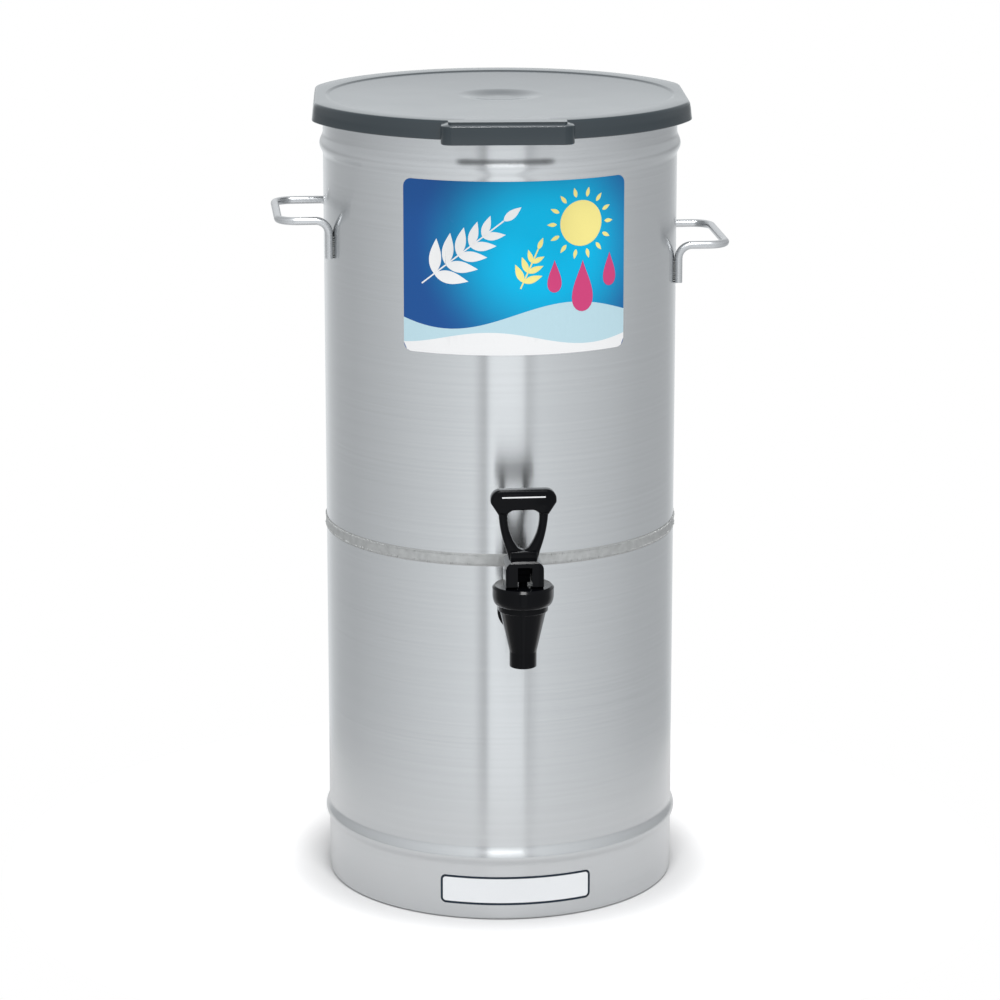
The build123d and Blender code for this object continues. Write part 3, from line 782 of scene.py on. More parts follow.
def shank_bar(radius, start_y, end_y, steps=64):
    """Round bar along Y at the shank's height."""
    outline = [(0.0, start_y), (radius, start_y), (radius, end_y), (0.0, end_y)]
    return along_shank(turned_mesh("shank_bar", outline, steps))


def shank_z():
    """Height of the shank's axis."""
    return low("faucet_body").z + settings("tap").shank_height


def valve_y():
    """Y of the valve's axis."""
    return (low("bonnet").y + high("bonnet").y) / 2


class DISPENSER_OT_shells(bpy.types.Operator):
    """Build the rolled tank and stand and the drawn pan"""

    bl_idname = "dispenser.shells"
    bl_label = "Body shells"

    def execute(self, context):
        body = settings("body")
        for node, name, outline in (("tank_shell", "tank_wall", tank_outline()),
                                    ("stand_shell", "stand_wall", stand_outline()),
                                    ("tank_pan", "tank_floor_pan", pan_outline())):
            mesh = turned_mesh(name, outline, SHELL_STEPS)
            if node != "tank_shell":
                hole = shank_bar(body.hole, -body.radius * 1.2, -body.radius * 0.8)
                mesh = carve(mesh, [hole], "DIFFERENCE")
            dress(name, mesh, "brushed_steel", "tank", "steel_sheet", node)
        return {"FINISHED"}


def new_growth(name, sockets):
    """Geometry Nodes tree with a geometry, a finish and other inputs by name and kind."""
    tree = bpy.data.node_groups.new(name, "GeometryNodeTree")
    for label, kind in {"Geometry": "Geometry", **sockets, "Finish": "Material"}.items():
        tree.interface.new_socket(name=label, in_out="INPUT", socket_type="NodeSocket" + kind)
    tree.interface.new_socket(name="Geometry", in_out="OUTPUT",
                              socket_type="NodeSocketGeometry")
    return tree, tree.nodes.new("NodeGroupInput").outputs


def close_growth(tree, take, geometry):
    """End a tree with real faces that wear its finish."""
    solid = add_node(tree, "GeometryNodeRealizeInstances", {0: geometry})
    painted = add_node(tree, "GeometryNodeSetMaterial",
                       {"Geometry": solid.outputs[0], "Material": take["Finish"]})
    tree.links.new(painted.outputs[0], tree.nodes.new("NodeGroupOutput").inputs[0])
    return tree


def ripple_tree():
    """Weld ripples as flattened beads along a curve."""
    tree, take = new_growth("weld_ripples", {"Count": "Int", "Radius": "Float",
                                             "Flatness": "Float", "Wander": "Float",
                                             "Seed": "Int"})
    points = add_node(tree, "GeometryNodeCurveToPoints",
                      {"Curve": take["Geometry"], "Count": take["Count"]}, mode="COUNT")
    drop = add_node(tree, "GeometryNodeMeshIcoSphere",
                    {"Radius": take["Radius"], "Subdivisions": 2})
    back = maths(tree, "MULTIPLY", take["Wander"], -1.0)
    low_edge = add_node(tree, "ShaderNodeCombineXYZ", {i: back for i in range(3)})
    high_edge = add_node(tree, "ShaderNodeCombineXYZ", {i: take["Wander"] for i in range(3)})
    shift = add_node(tree, "FunctionNodeRandomValue",
                     {0: low_edge.outputs[0], 1: high_edge.outputs[0], "Seed": take["Seed"]},
                     data_type="FLOAT_VECTOR")
    placed = add_node(tree, "GeometryNodeSetPosition",
                      {"Geometry": points.outputs[0], "Offset": shift.outputs[0]})
    size = add_node(tree, "FunctionNodeRandomValue", {2: 0.8, 3: 1.2, "Seed": take["Seed"]},
                    data_type="FLOAT")
    shape = add_node(tree, "ShaderNodeCombineXYZ",
                     {0: size.outputs[1], 1: size.outputs[1], 2: take["Flatness"]})
    beads = add_node(tree, "GeometryNodeInstanceOnPoints",
                     {"Points": placed.outputs[0], "Instance": drop.outputs[0],
                      "Rotation": points.outputs["Rotation"], "Scale": shape.outputs[0]})
    return close_growth(tree, take, beads.outputs[0])


def set_inputs(modifier, values):
    """Set a Geometry Nodes modifier's inputs by the names of its sockets."""
    for item in modifier.node_group.interface.items_tree:
        if item.item_type == "SOCKET" and item.in_out == "INPUT" and item.name in values:
            modifier[item.identifier] = values[item.name]


def poly_curve(name, points, closed=False):
    """Curve object through points."""
    curve = bpy.data.curves.new(name, "CURVE")
    curve.dimensions = "3D"
    spline = curve.splines.new("POLY")
    spline.points.add(len(points) - 1)
    for target, point in zip(spline.points, points):
        target.co = (*point, 1.0)
    spline.use_cyclic_u = closed
    return put(name, curve)


def grown(path, maker, name, look, values):
    """Plain mesh grown from a curve by a Geometry Nodes tree; the curve is removed."""
    modifier = path.modifiers.new("grow", "NODES")
    modifier.node_group = shared_group(name, maker)
    set_inputs(modifier, {**values, "Finish": finish(look)})
    mesh = baked(path, path.name)
    path.modifiers.clear()
    bpy.data.objects.remove(path)
    return mesh


def seam_mesh(steps=900, rows=12):
    """Rough band of the seam, proud in its middle and pitted all over."""
    body = settings("body")
    start, top = low("seam_weld").z, high("seam_weld").z
    bulge = high("seam_weld").x
    inside = body.radius - body.sheet
    rings = []
    for row in range(rows + 1):
        share = row / rows
        crown = math.sin(math.pi * share) ** 0.5
        ring = []
        for step in range(steps):
            turn = FULL_TURN * step / steps
            probe = Vector((math.cos(turn), math.sin(turn), 0)) * body.radius
            probe.z = start + (top - start) * share
            jitter = noise.noise(probe * COARSE_PITS) * 0.6 + noise.noise(probe * FINE_PITS) * 0.4
            radius = body.radius + (bulge - body.radius) * crown
            radius += body.weld_rough * jitter * crown
            ring.append((radius * math.cos(turn), radius * math.sin(turn), probe.z))
        rings.append(ring)
    rings += [circle(inside, steps, height) for height in (top, start)]
    bm = bmesh.new()
    ring_stack(bm, rings)
    return mesh_from("seam_band", bm)


class DISPENSER_OT_seam(bpy.types.Operator):
    """Build the rough weld band that joins tank and stand"""

    bl_idname = "dispenser.seam"
    bl_label = "Weld seam"

    def execute(self, context):
        body = settings("body")
        dress("seam_band", seam_mesh(), "seam_steel", "tank", "weld", "seam_weld")
        start, top = low("seam_weld").z, high("seam_weld").z
        for name, share, seed in (("seam_ripples_low", 0.16, 3), ("seam_ripples_high", 0.84, 8)):
            level = start + (top - start) * share
            path = poly_curve(name, circle(body.radius, 360, level), closed=True)
            mesh = grown(path, ripple_tree, "weld_ripples", "seam_steel",
                         {"Count": body.ripples, "Radius": body.ripple, "Flatness": 0.35,
                          "Wander": body.weld_rough, "Seed": seed})
            dress(name, mesh, None, "tank", "weld")
        return {"FINISHED"}


# Handles


def wire_tree():
    """Round wire along a curve whose corners are bent to a radius."""
    tree, take = new_growth("bent_wire", {"Wire Radius": "Float", "Corner": "Float",
                                          "Leg Bend": "Float", "Sides": "Int"})
    place = tree.nodes.new("GeometryNodeInputIndex")
    # Of the six points, 2 and 3 are the outer corners, 1 and 4 the bends above the legs
    outer = add_node(tree, "ShaderNodeMath", {0: place.outputs[0], 1: 2.5, 2: 0.9},
                     operation="COMPARE")
    bends = add_node(tree, "GeometryNodeSwitch",
                     {"Switch": outer.outputs[0], "False": take["Leg Bend"],
                      "True": take["Corner"]}, input_type="FLOAT")
    bent = add_node(tree, "GeometryNodeFilletCurve",
                    {"Curve": take["Geometry"], "Radius": bends.outputs[0], "Count": 14},
                    mode="POLY")
    ring = add_node(tree, "GeometryNodeCurvePrimitiveCircle",
                    {"Resolution": take["Sides"], "Radius": take["Wire Radius"]})
    wire = add_node(tree, "GeometryNodeCurveToMesh",
                    {"Curve": bent.outputs[0], "Profile Curve": ring.outputs["Curve"],
                     "Fill Caps": True})
    return close_growth(tree, take, wire.outputs[0])


def handle_points(node, side):
    """Corners of a handle's centreline, from the CAD box of its node."""
    body, handles = settings("body"), settings("handles")
    box_low, box_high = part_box(node)
    front, back = box_low.y + handles.wire, box_high.y - handles.wire
    outer = (box_high.x if side > 0 else box_low.x) - side * handles.wire
    arm_z = box_high.z - handles.wire
    leg_radius = body.radius + handles.wire + handles.leg_gap
    front_x = side * math.sqrt(leg_radius ** 2 - front ** 2)
    back_x = side * math.sqrt(leg_radius ** 2 - back ** 2)
    foot = arm_z - handles.leg
    return [(front_x, front, foot), (front_x, front, arm_z), (outer, front, arm_z),
            (outer, back, arm_z), (back_x, back, arm_z), (back_x, back, foot)]


class DISPENSER_OT_handles(bpy.types.Operator):
    """Build both bent wire handles and their welds"""

    bl_idname = "dispenser.handles"
    bl_label = "Wire handles"

    def execute(self, context):
        handles = settings("handles")
        for node, side in (("left_handle", -1), ("right_handle", 1)):
            corners = handle_points(node, side)
            mesh = grown(poly_curve(node + "_wire", corners), wire_tree, "bent_wire",
                         "drawn_wire",
                         {"Wire Radius": handles.wire, "Corner": handles.corner,
                          "Leg Bend": handles.leg_bend, "Sides": 32})
            dress(node + "_wire", mesh, None, "tank", "handle_wire", node)
            for index, foot in ((0, corners[0]), (1, corners[-1])):
                for edge in (-1, 1):
                    self.weld(f"{node}_weld_{index}_{'a' if edge < 0 else 'b'}", foot, edge,
                              index + 5)
        return {"FINISHED"}

    def weld(self, name, foot, edge, seed):
        """Short row of ripples in the crease along one edge of a leg."""
        radius, handles = settings("body").radius, settings("handles")
        turn = math.atan2(foot[1], foot[0]) + edge * handles.weld_offset / radius
        line = [(radius * math.cos(turn), radius * math.sin(turn),
                 foot[2] + share * handles.weld_length) for share in (0.0, 0.5, 1.0)]
        mesh = grown(poly_curve(name, line), ripple_tree, "weld_ripples", "rough_weld",
                     {"Count": handles.ripples, "Radius": handles.weld, "Flatness": 0.9,
                      "Wander": 0.08 * MM, "Seed": seed})
        dress(name, mesh, None, "tank", "weld")


# Lid


def lid_turn():
    """How far the lid sits turned, from the direction of its tab in the CAD lid."""
    reach = settings("body").radius + settings("lid").overhang + settings("lid").tab_reach / 2
    points = [v.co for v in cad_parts["lid"].data.vertices if v.co.xy.length > reach]
    middle = sum((Vector((p.x, p.y)) for p in points), Vector((0, 0)))
    return math.atan2(middle.y, middle.x) + QUARTER


def lid_outline(steps=360):
    """Points and outward normals of the lid's plan, a circle with two flat sides."""
    body, lid = settings("body"), settings("lid")
    radius = body.radius + lid.overhang
    flat = body.radius + lid.side_overhang
    corner = lid.corner
    centre_x = flat - corner
    centre_y = math.sqrt((radius - corner) ** 2 - centre_x ** 2)
    meet = math.atan2(centre_y, centre_x)
    points, normals = [], []
    for step in range(steps):
        turn = FULL_TURN * step / steps
        heading = Vector((math.cos(turn), math.sin(turn)))
        fold = math.atan2(abs(heading.y), abs(heading.x))
        if fold >= meet:
            points.append(heading * radius)
            normals.append(heading)
            continue
        sign = Vector((math.copysign(1, heading.x), math.copysign(1, heading.y)))
        edge = Vector((flat, flat * math.tan(fold)))
        if edge.y <= centre_y:
            points.append(Vector((edge.x * sign.x, edge.y * sign.y)))
            normals.append(Vector((sign.x, 0)))
            continue
        centre = Vector((centre_x, centre_y))
        ray = Vector((math.cos(fold), math.sin(fold)))
        along = ray.dot(centre)
        reach = along + math.sqrt(along ** 2 - centre.length_squared + corner ** 2)
        spot = ray * reach
        out = (spot - centre).normalized()
        points.append(Vector((spot.x * sign.x, spot.y * sign.y)))
        normals.append(Vector((out.x * sign.x, out.y * sign.y)))
    return points, normals


def dimple_line(lid, steps=12):
    """Radii and depths from the dimple's rim to the lid's middle."""
    line = []
    for step in range(steps + 1):
        share = step / steps
        radius = lid.dimple + (lid.dimple_foot - lid.dimple) * share
        line.append((radius, lid.dimple_depth * (1 - math.cos(math.pi * share)) / 2))
    return line + [(lid.dimple_foot / 2, lid.dimple_depth), (0.0, lid.dimple_depth)]


def lid_mesh():
    """Lid without its tab: skirt, top land, recess, dimple, rib and underside."""
    body, lid = settings("body"), settings("lid")
    points, normals = lid_outline()
    top = high("lid").z - lid.tab_lip
    skirt_z, floor, under = top - lid.skirt, top - lid.recess, top - lid.wall
    recess_edge = body.radius + lid.overhang - lid.recess_margin
    rib_outer = body.radius - body.sheet - lid.rib_gap
    rib_inner = rib_outer - lid.rib_width
    rib_low = under - lid.rib
    inner_blunt, rib_rise = 0.4 * MM, 0.3 * MM

    def plan(offset, z):
        return [(p.x + n.x * offset, p.y + n.y * offset, z) for p, n in zip(points, normals)]

    def ring(radius, z):
        return [(p.normalized().x * radius, p.normalized().y * radius, z) for p in points]

    def flare(z):
        return lid.flare * (top - z) / lid.skirt

    rings = [plan(flare(skirt_z) - lid.wall + inner_blunt, skirt_z),
             plan(flare(skirt_z) - lid.blunt, skirt_z), plan(flare(skirt_z), skirt_z + lid.blunt)]
    for share in (0.25, 0.5, 0.75):
        z = skirt_z + (top - lid.edge - skirt_z) * share
        rings.append(plan(flare(z), z))
    rings += [plan(x, z) for x, z in arc((-lid.edge, top - lid.edge), lid.edge, 0, 90, 6)]
    for share in [step / 8 for step in range(9)]:
        drop = lid.recess * (1 - math.cos(math.pi * share)) / 2
        rings.append(ring(recess_edge + lid.recess_start - lid.recess_slope * share, top - drop))
    dip = dimple_line(lid)
    rings += [ring(radius, floor - drop) for radius, drop in dip]
    rings += [ring(radius, floor - lid.wall - drop) for radius, drop in reversed(dip)]
    rings += [ring(rib_inner, floor - lid.wall), ring(rib_inner, rib_low + rib_rise),
              ring(rib_inner + inner_blunt, rib_low), ring(rib_outer - inner_blunt, rib_low),
              ring(rib_outer, rib_low + rib_rise), ring(rib_outer, under),
              plan(-lid.wall - inner_blunt, under)]
    bm = bmesh.new()
    ring_stack(bm, rings)
    return mesh_from("lid_cover", bm)


def tab_outline(inset, steps=8):
    """Plan of the grip tab, from inside the lid's rim to its rounded front corners."""
    body, lid = settings("body"), settings("lid")
    front = -(body.radius + lid.overhang + lid.tab_reach) + inset
    back = -(body.radius + lid.overhang) + lid.wall + lid.tab_root
    side = lid.tab_width / 2 - inset
    corner = max(lid.tab_corner - inset, lid.blunt)
    return rounded([(side, back, 0), (side, front, corner), (-side, front, corner),
                    (-side, back, 0)], steps)


def block(name, levels):
    """Closed mesh from (outline, height) levels of as many points, capped at both ends."""
    bm = bmesh.new()
    rings = ring_stack(bm, [[(x, y, z) for x, y in outline] for outline, z in levels],
                       closed=False)
    bm.faces.new(rings[0])
    bm.faces.new(rings[-1])
    return mesh_from(name, bm)


def tab_meshes():
    """Solid of the grip tab with its sloping ledge, and the hollow under it."""
    lid = settings("lid")
    foot, top = low("lid").z, high("lid").z
    edge, slope = lid.tab_edge, lid.tab_slope
    ledge_back = top - lid.tab_step
    ledge_front = ledge_back - lid.tab_ledge * math.tan(slope)
    levels = [(lid.blunt, foot), (0.0, foot + lid.blunt)]
    for turn in [(QUARTER - slope) * step / 6 for step in range(7)]:
        levels.append((edge * (1 - math.cos(turn)),
                       ledge_front + edge * (math.sin(turn) - math.cos(slope))))
    inset = edge * (1 - math.sin(slope)) + lid.tab_ledge
    levels += [(inset, ledge_back), (inset + 0.05 * MM, top - 0.2 * MM),
               (inset + 0.25 * MM, top)]
    solid = block("grip_tab", [(tab_outline(offset), z) for offset, z in levels])
    ceiling = top - lid.tab_lip - lid.wall
    hollow = block("grip_hollow", [(tab_outline(lid.wall), z)
                                   for z in (foot - lid.wall, ceiling)])
    return solid, hollow


class DISPENSER_OT_lid(bpy.types.Operator):
    """Build the moulded lid with its grip tab"""

    bl_idname = "dispenser.lid"
    bl_label = "Lid"

    def execute(self, context):
        solid, hollow = tab_meshes()
        mesh = carve(lid_mesh(), [solid], "UNION")
        mesh = moved(carve(mesh, [hollow], "DIFFERENCE"), Matrix.Rotation(lid_turn(), 4, "Z"))
        dress("lid_cover", mesh, "slate_plastic", "lid", "lid_plastic", "lid")
        return {"FINISHED"}


# Label and plate


def wrapped(name, outlines, lift, thickness, middle_z, slice_width=2.5 * MM):
    """Flat (along, up) outlines, sliced, wrapped round the body's front and thickened."""
    radius = settings("body").radius
    bm = bmesh.new()
    for outline in outlines:
        bm.faces.new([bm.verts.new((x, 0, z)) for x, z in outline])
    bmesh.ops.triangulate(bm, faces=bm.faces, ngon_method="EAR_CLIP")
    reach = max(abs(v.co.x) for v in bm.verts)
    cuts = int(reach / slice_width) + 1
    for step in range(-cuts, cuts + 1):
        parts = [*bm.verts, *bm.edges, *bm.faces]
        bmesh.ops.bisect_plane(bm, geom=parts, plane_co=(step * slice_width, 0, 0),
                               plane_no=(1, 0, 0), dist=TINY)
    inner = radius + lift
    made = bmesh.ops.extrude_face_region(bm, geom=list(bm.faces))
    outer = {v for v in made["geom"] if isinstance(v, bmesh.types.BMVert)}
    for vert in bm.verts:
        turn = vert.co.x / radius
        distance = inner + thickness if vert in outer else inner
        vert.co = (distance * math.sin(turn), -distance * math.cos(turn), middle_z + vert.co.z)
    return mesh_from(name, bm)


def panel(width, height, corner, steps=8):
    """Rounded rectangle round the origin."""
    x, z = width / 2, height / 2
    return rounded([(x, -z, corner), (x, z, corner), (-x, z, corner), (-x, -z, corner)], steps)


def ring_parts(outer, inner):
    """Strip between two outlines of as many points, as four-sided parts."""
    total = len(outer)
    return [[outer[i], outer[(i + 1) % total], inner[(i + 1) % total], inner[i]]
            for i in range(total)]


def leaf(base, heading, size, width, steps=14):
    """Pointed leaf outline from its base along a heading in degrees."""
    turn = math.radians(heading)
    along = Vector((math.cos(turn), math.sin(turn)))
    across = Vector((-along.y, along.x))
    sides = ([], [])
    for step in range(steps + 1):
        share = step / steps
        swell = math.sin(math.pi * share ** 0.8) * width / 2
        spot = Vector(base) + along * size * share
        sides[0].append(tuple(spot + across * swell))
        sides[1].append(tuple(spot - across * swell))
    return sides[0] + sides[1][-2:0:-1]


def drop(centre, size, steps=28):
    """Drop outline with its point upwards."""
    points = []
    for step in range(steps):
        turn = FULL_TURN * step / steps
        pinch = math.sin(turn / 2) ** 1.6
        points.append((centre[0] + size * 0.62 * math.sin(turn) * pinch,
                       centre[1] + size * math.cos(turn) * 0.95))
    return points


def disc(centre, radius, steps=40):
    """Round outline."""
    return [(centre[0] + radius * math.cos(FULL_TURN * i / steps),
             centre[1] + radius * math.sin(FULL_TURN * i / steps)) for i in range(steps)]


def swash(width, height, corner, level, steps=64):
    """Outline of a panel's lower part, up to a height that a function gives for each place."""
    side, foot = width / 2, -height / 2
    below, above = [], []
    for step in range(steps + 1):
        x = -side + width * step / steps
        over = max(0.0, abs(x) - (side - corner))
        below.append((x, foot + corner - math.sqrt(max(0.0, corner ** 2 - over ** 2))))
        above.append((x, level(x)))
    return below + above[::-1]


def sprig(base, heading, reach, leaves, size):
    """Stem with pairs of leaves and one at its tip."""
    turn = math.radians(heading)
    along = Vector((math.cos(turn), math.sin(turn)))
    across = Vector((-along.y, along.x)) * 0.5 * MM
    start, tip = Vector(base), Vector(base) + along * reach
    parts = [[tuple(spot) for spot in (start - across, tip - across, tip + across,
                                       start + across)]]
    for index in range(leaves):
        spot = start + along * reach * (0.16 + 0.74 * index / leaves)
        scale = size * (1.0 - 0.45 * index / leaves)
        for side in (-1, 1):
            parts.append(leaf(spot, heading + side * (48 - 4 * index), scale, scale * 0.36))
    parts.append(leaf(tip, heading, size * 0.62, size * 0.24))
    return parts


class DISPENSER_OT_label(bpy.types.Operator):
    """Build the blue label with a plain printed pattern of leaves, drops and waves"""

    bl_idname = "dispenser.label"
    bl_label = "Front label"

    def execute(self, context):
        prints = settings("prints")
        middle, height = upright("front_label")
        outline = panel(prints.label_width, height, prints.label_corner)
        base = wrapped("label_base", [outline], prints.glue, prints.film, middle)
        dress("label_base", base, "label_film", "tank", "label_print", "front_label")
        lift = prints.glue + prints.film - BITE
        for index, (name, look, parts) in enumerate(self.patterns(prints, height)):
            mesh = wrapped(name, parts, lift, prints.ink * (1 + 0.4 * index), middle)
            dress(name, mesh, look, "tank", "label_print")
        return {"FINISHED"}

    def patterns(self, prints, height):
        """Printed shapes by name, finish and outlines, in the label's flat frame."""
        size, foot = (prints.label_width, height, prints.label_corner), -height / 2

        def hill(level, swing, bend, shift):
            return lambda x: foot + level + swing * math.sin(x * bend + shift)

        ice = swash(*size, hill(27 * MM, 9 * MM, 36.0, 0.2))
        white = swash(*size, hill(11 * MM, 5 * MM, 44.0, 2.4))
        leaves = sprig((-68 * MM, -12 * MM), 38, 74 * MM, 5, 25 * MM)
        small = sprig((2 * MM, -14 * MM), 66, 30 * MM, 3, 14 * MM)
        sun_x, sun_z, ray_start, rays = 46 * MM, 30 * MM, 18.5 * MM, 14
        sun = [disc((sun_x, sun_z), 16 * MM)]
        for ray in range(rays):
            turn = FULL_TURN * ray / rays
            base = (sun_x + ray_start * math.cos(turn), sun_z + ray_start * math.sin(turn))
            sun.append(leaf(base, ray * 360 / rays, 7 * MM, 2.8 * MM))
        drops = [drop((26 * MM, -6 * MM), 12 * MM), drop((47 * MM, -14 * MM), 19 * MM),
                 drop((69 * MM, -4 * MM), 12.5 * MM)]
        return [("label_hill_ice", "ice_print", [ice]),
                ("label_hill_white", "white_print", [white]),
                ("label_sprig_white", "white_print", leaves),
                ("label_sprig_yellow", "yellow_print", small),
                ("label_sun_yellow", "yellow_print", sun),
                ("label_drops_pink", "pink_print", drops)]


class DISPENSER_OT_plate(bpy.types.Operator):
    """Build the bare white plate on the skirt with its thin outline"""

    bl_idname = "dispenser.plate"
    bl_label = "Skirt plate"

    def execute(self, context):
        prints = settings("prints")
        middle, height = upright("name_plate")
        width, corner, line = prints.plate_width, prints.plate_corner, prints.plate_line
        outer = panel(width, height, corner)
        inner = panel(width - 2 * line, height - 2 * line, corner - line)
        plate = wrapped("skirt_plate", [outer], prints.glue, prints.plate_thickness, middle)
        dress("skirt_plate", plate, "plate_film", "tank", "plate_print", "name_plate")
        lift = prints.glue + prints.plate_thickness - 2 * BITE
        border = wrapped("skirt_plate_line", ring_parts(outer, inner), lift, prints.ink * 0.8,
                         middle)
        dress("skirt_plate_line", border, "dark_ink", "tank", "plate_print")
        return {"FINISHED"}


# Tap


class DISPENSER_OT_tap_body(bpy.types.Operator):
    """Build the tap's moulded body with its shank"""

    bl_idname = "dispenser.tap_body"
    bl_label = "Tap body"

    def execute(self, context):
        tap = settings("tap")
        tip, top, end = low("faucet_body").z, high("faucet_body").z, high("faucet_body").y
        tip_top = tip + tap.tip_length
        cone_top = tip_top + tap.cone_height
        collar_top = cone_top + tap.collar_height
        outline = rounded([
            (0.0, tip, 0), (tap.tip_radius, tip, 0.7 * MM), (tap.tip_radius, tip_top, 3.0 * MM),
            (tap.cone_radius, cone_top, 0.3 * MM), (tap.collar_radius, cone_top, 0.6 * MM),
            (tap.collar_radius, collar_top, 0.4 * MM), (tap.neck_radius, collar_top, 0),
            (tap.neck_radius, top, 0.5 * MM), (0.0, top, 0)])
        over_valve = Matrix.Translation((0, valve_y(), 0))
        cone = moved(turned_mesh("tap_cone", outline, 128), over_valve)
        wall = -settings("body").radius - tap.gasket
        front, root = wall - tap.flange_thickness, wall - tap.flange_thickness / 2
        stub = shank_bar(tap.stub_radius, valve_y(), root, 96)
        shoulder = rounded([(0.0, front, 0), (tap.flange_radius, front, 1.2 * MM),
                            (tap.flange_radius, wall, 0.3 * MM), (0.0, wall, 0)])
        flange = along_shank(turned_mesh("shoulder", shoulder, 96))
        shank = shank_bar(tap.shank_radius, root, end, 96)
        mesh = carve(cone, [stub, flange, shank], "UNION")
        past = 5 * MM  # how far a cutter runs past the end that it opens
        seat = shank_z() - tap.seat_drop
        hollow = [(0.0, tip - past), (tap.bore, tip - past),
                  (tap.bore, seat - (tap.chamber - tap.bore)), (tap.chamber, seat),
                  (tap.chamber, top + past), (0.0, top + past)]
        hollow = moved(turned_mesh("tap_hollow", hollow, 96), over_valve)
        way = shank_bar(tap.shank_bore, valve_y(), end + past)
        mesh = carve(mesh, [hollow, way], "DIFFERENCE")
        dress("tap_body", mesh, "black_plastic", "tank", "tap_plastic", "faucet_body")
        return {"FINISHED"}


class DISPENSER_OT_bonnet(bpy.types.Operator):
    """Build the round screw cap of the tap"""

    bl_idname = "dispenser.bonnet"
    bl_label = "Bonnet"

    def execute(self, context):
        tap = settings("tap")
        start, top = low("bonnet").z, high("bonnet").z
        radius = high("bonnet").x
        band_low = top - tap.bonnet_edge - tap.bonnet_band
        play, blunt = 0.1 * MM, 0.4 * MM
        inside = tap.neck_radius + play
        ceiling = top - tap.bonnet_roof
        outline = [(inside, start), (tap.bonnet_foot - blunt, start)]
        for turn in [QUARTER * step / 12 for step in range(13)]:
            outline.append((tap.bonnet_foot + (radius - tap.bonnet_foot) * math.sin(turn) ** 0.9,
                            start + (band_low - start) * (1 - math.cos(turn))))
        edge = tap.bonnet_edge
        outline += arc((radius - edge, top - edge), edge, 0, 90, 1)
        outline += [(tap.stem_hole + blunt, top), (tap.stem_hole, top - blunt),
                    (tap.stem_hole, ceiling), (inside, ceiling)]
        mesh = moved(turned_mesh("bonnet_cap", outline, 160),
                     Matrix.Translation((0, valve_y(), 0)))
        dress("bonnet_cap", mesh, "black_plastic", "tank", "tap_plastic", "bonnet")
        return {"FINISHED"}


def slab(name, outline, depth, edge, hole=None):
    """Flat plate across Y with rounded rims, from an outline of (x, z) points."""
    curve = bpy.data.curves.new(name, "CURVE")
    curve.dimensions = "2D"
    curve.fill_mode = "BOTH"
    curve.extrude = depth / 2 - edge
    curve.bevel_depth = edge
    curve.bevel_resolution = 4
    curve.offset = -edge
    for points in ([outline] if hole is None else [outline, hole]):
        spline = curve.splines.new("POLY")
        spline.points.add(len(points) - 1)
        for target, (x, z) in zip(spline.points, points):
            target.co = (x, z, 0, 1)
        spline.use_cyclic_u = True
    piece = put(name, curve)
    mesh = baked(piece, name)
    bpy.data.objects.remove(piece)
    bm = bmesh.new()
    bm.from_mesh(mesh)
    bmesh.ops.transform(bm, matrix=Matrix.Rotation(QUARTER, 4, "X"), verts=bm.verts)
    return mesh_from(name, bm)


def bowed(start, end, bow, steps=14):
    """Points of a shallow arc that stands out to the right of its chord."""
    first, last = Vector(start), Vector(end)
    chord = last - first
    across = Vector((chord.y, -chord.x)).normalized()
    return [tuple(first + chord * (i / steps) + across * bow * 4 * (i / steps) * (1 - i / steps))
            for i in range(steps + 1)]


def whole(right):
    """Closed outline from its right half, which starts and ends on the middle line."""
    left = [(-x, z) for x, z in reversed(right) if x > TINY]
    return right + left


def pin_z():
    """Height of the lever's pin."""
    return upright("lever_pin")[0]


def lever_loop():
    """Loop of the lever with its finger opening."""
    tap = settings("tap")
    bar_low = high("lever").z - pin_z() - tap.bar_height
    root, sunk = 7.5 * MM, bar_low + 5.0 * MM  # where it ends in the block and in the bar
    outer_bow, inner_bow = 1.2 * MM, 2.1 * MM
    foot, half_top = tap.loop_foot, tap.loop_outer_top / 2
    outer = [(0.0, root), (tap.block_width / 2 + 0.4 * MM, root)]
    outer += bowed((tap.loop_outer_low / 2, foot), (half_top, bar_low), outer_bow)
    outer += [(half_top - 0.5 * MM, sunk), (0.0, sunk)]
    corner, side = tap.loop_corner, tap.opening_top / 2
    inner = [(0.0, foot), (tap.opening_low / 4, foot + 0.7 * MM)]
    inner += bowed((tap.opening_low / 2, foot + 1.8 * MM), (side, bar_low - corner), inner_bow)
    inner += arc((side - corner, bar_low - corner), corner, 0, 90, 6)[1:] + [(0.0, bar_low)]
    return slab("lever_loop", whole(outer), tap.loop_depth, tap.loop_edge, whole(inner)), bar_low


def lever_bar(bar_low):
    """Top bar of the lever, with lower corners that run down into the loop."""
    tap = settings("tap")
    side, top = high("lever").x, bar_low + tap.bar_height
    tuck, lobe = bar_low - 3.2 * MM, bar_low + 5.4 * MM  # heights of its lower corners
    inner, small = tap.opening_top / 2 + 0.6 * MM, 0.8 * MM
    half = [(inner - 4.0 * MM, bar_low, 4.0 * MM), (inner + 0.6 * MM, tuck, small),
            (tap.loop_outer_top / 2, tuck, small), (side, lobe, 3.0 * MM), (side, top, 7.0 * MM)]
    other = [(-x, z, radius) for x, z, radius in reversed(half)]
    outline = rounded(half[-1:] + other + half[:-1], 8)
    return slab("lever_bar", outline, tap.bar_depth, 1.9 * MM)


def rounded_box(name, size, centre, edge, segments=4):
    """Box with rounded edges."""
    bm = bmesh.new()
    bmesh.ops.create_cube(bm, size=1.0)
    bmesh.ops.scale(bm, vec=size, verts=bm.verts)
    bmesh.ops.bevel(bm, geom=list(bm.edges), offset=edge, segments=segments, profile=0.5,
                    affect="EDGES")
    bmesh.ops.translate(bm, vec=centre, verts=bm.verts)
    return mesh_from(name, bm)


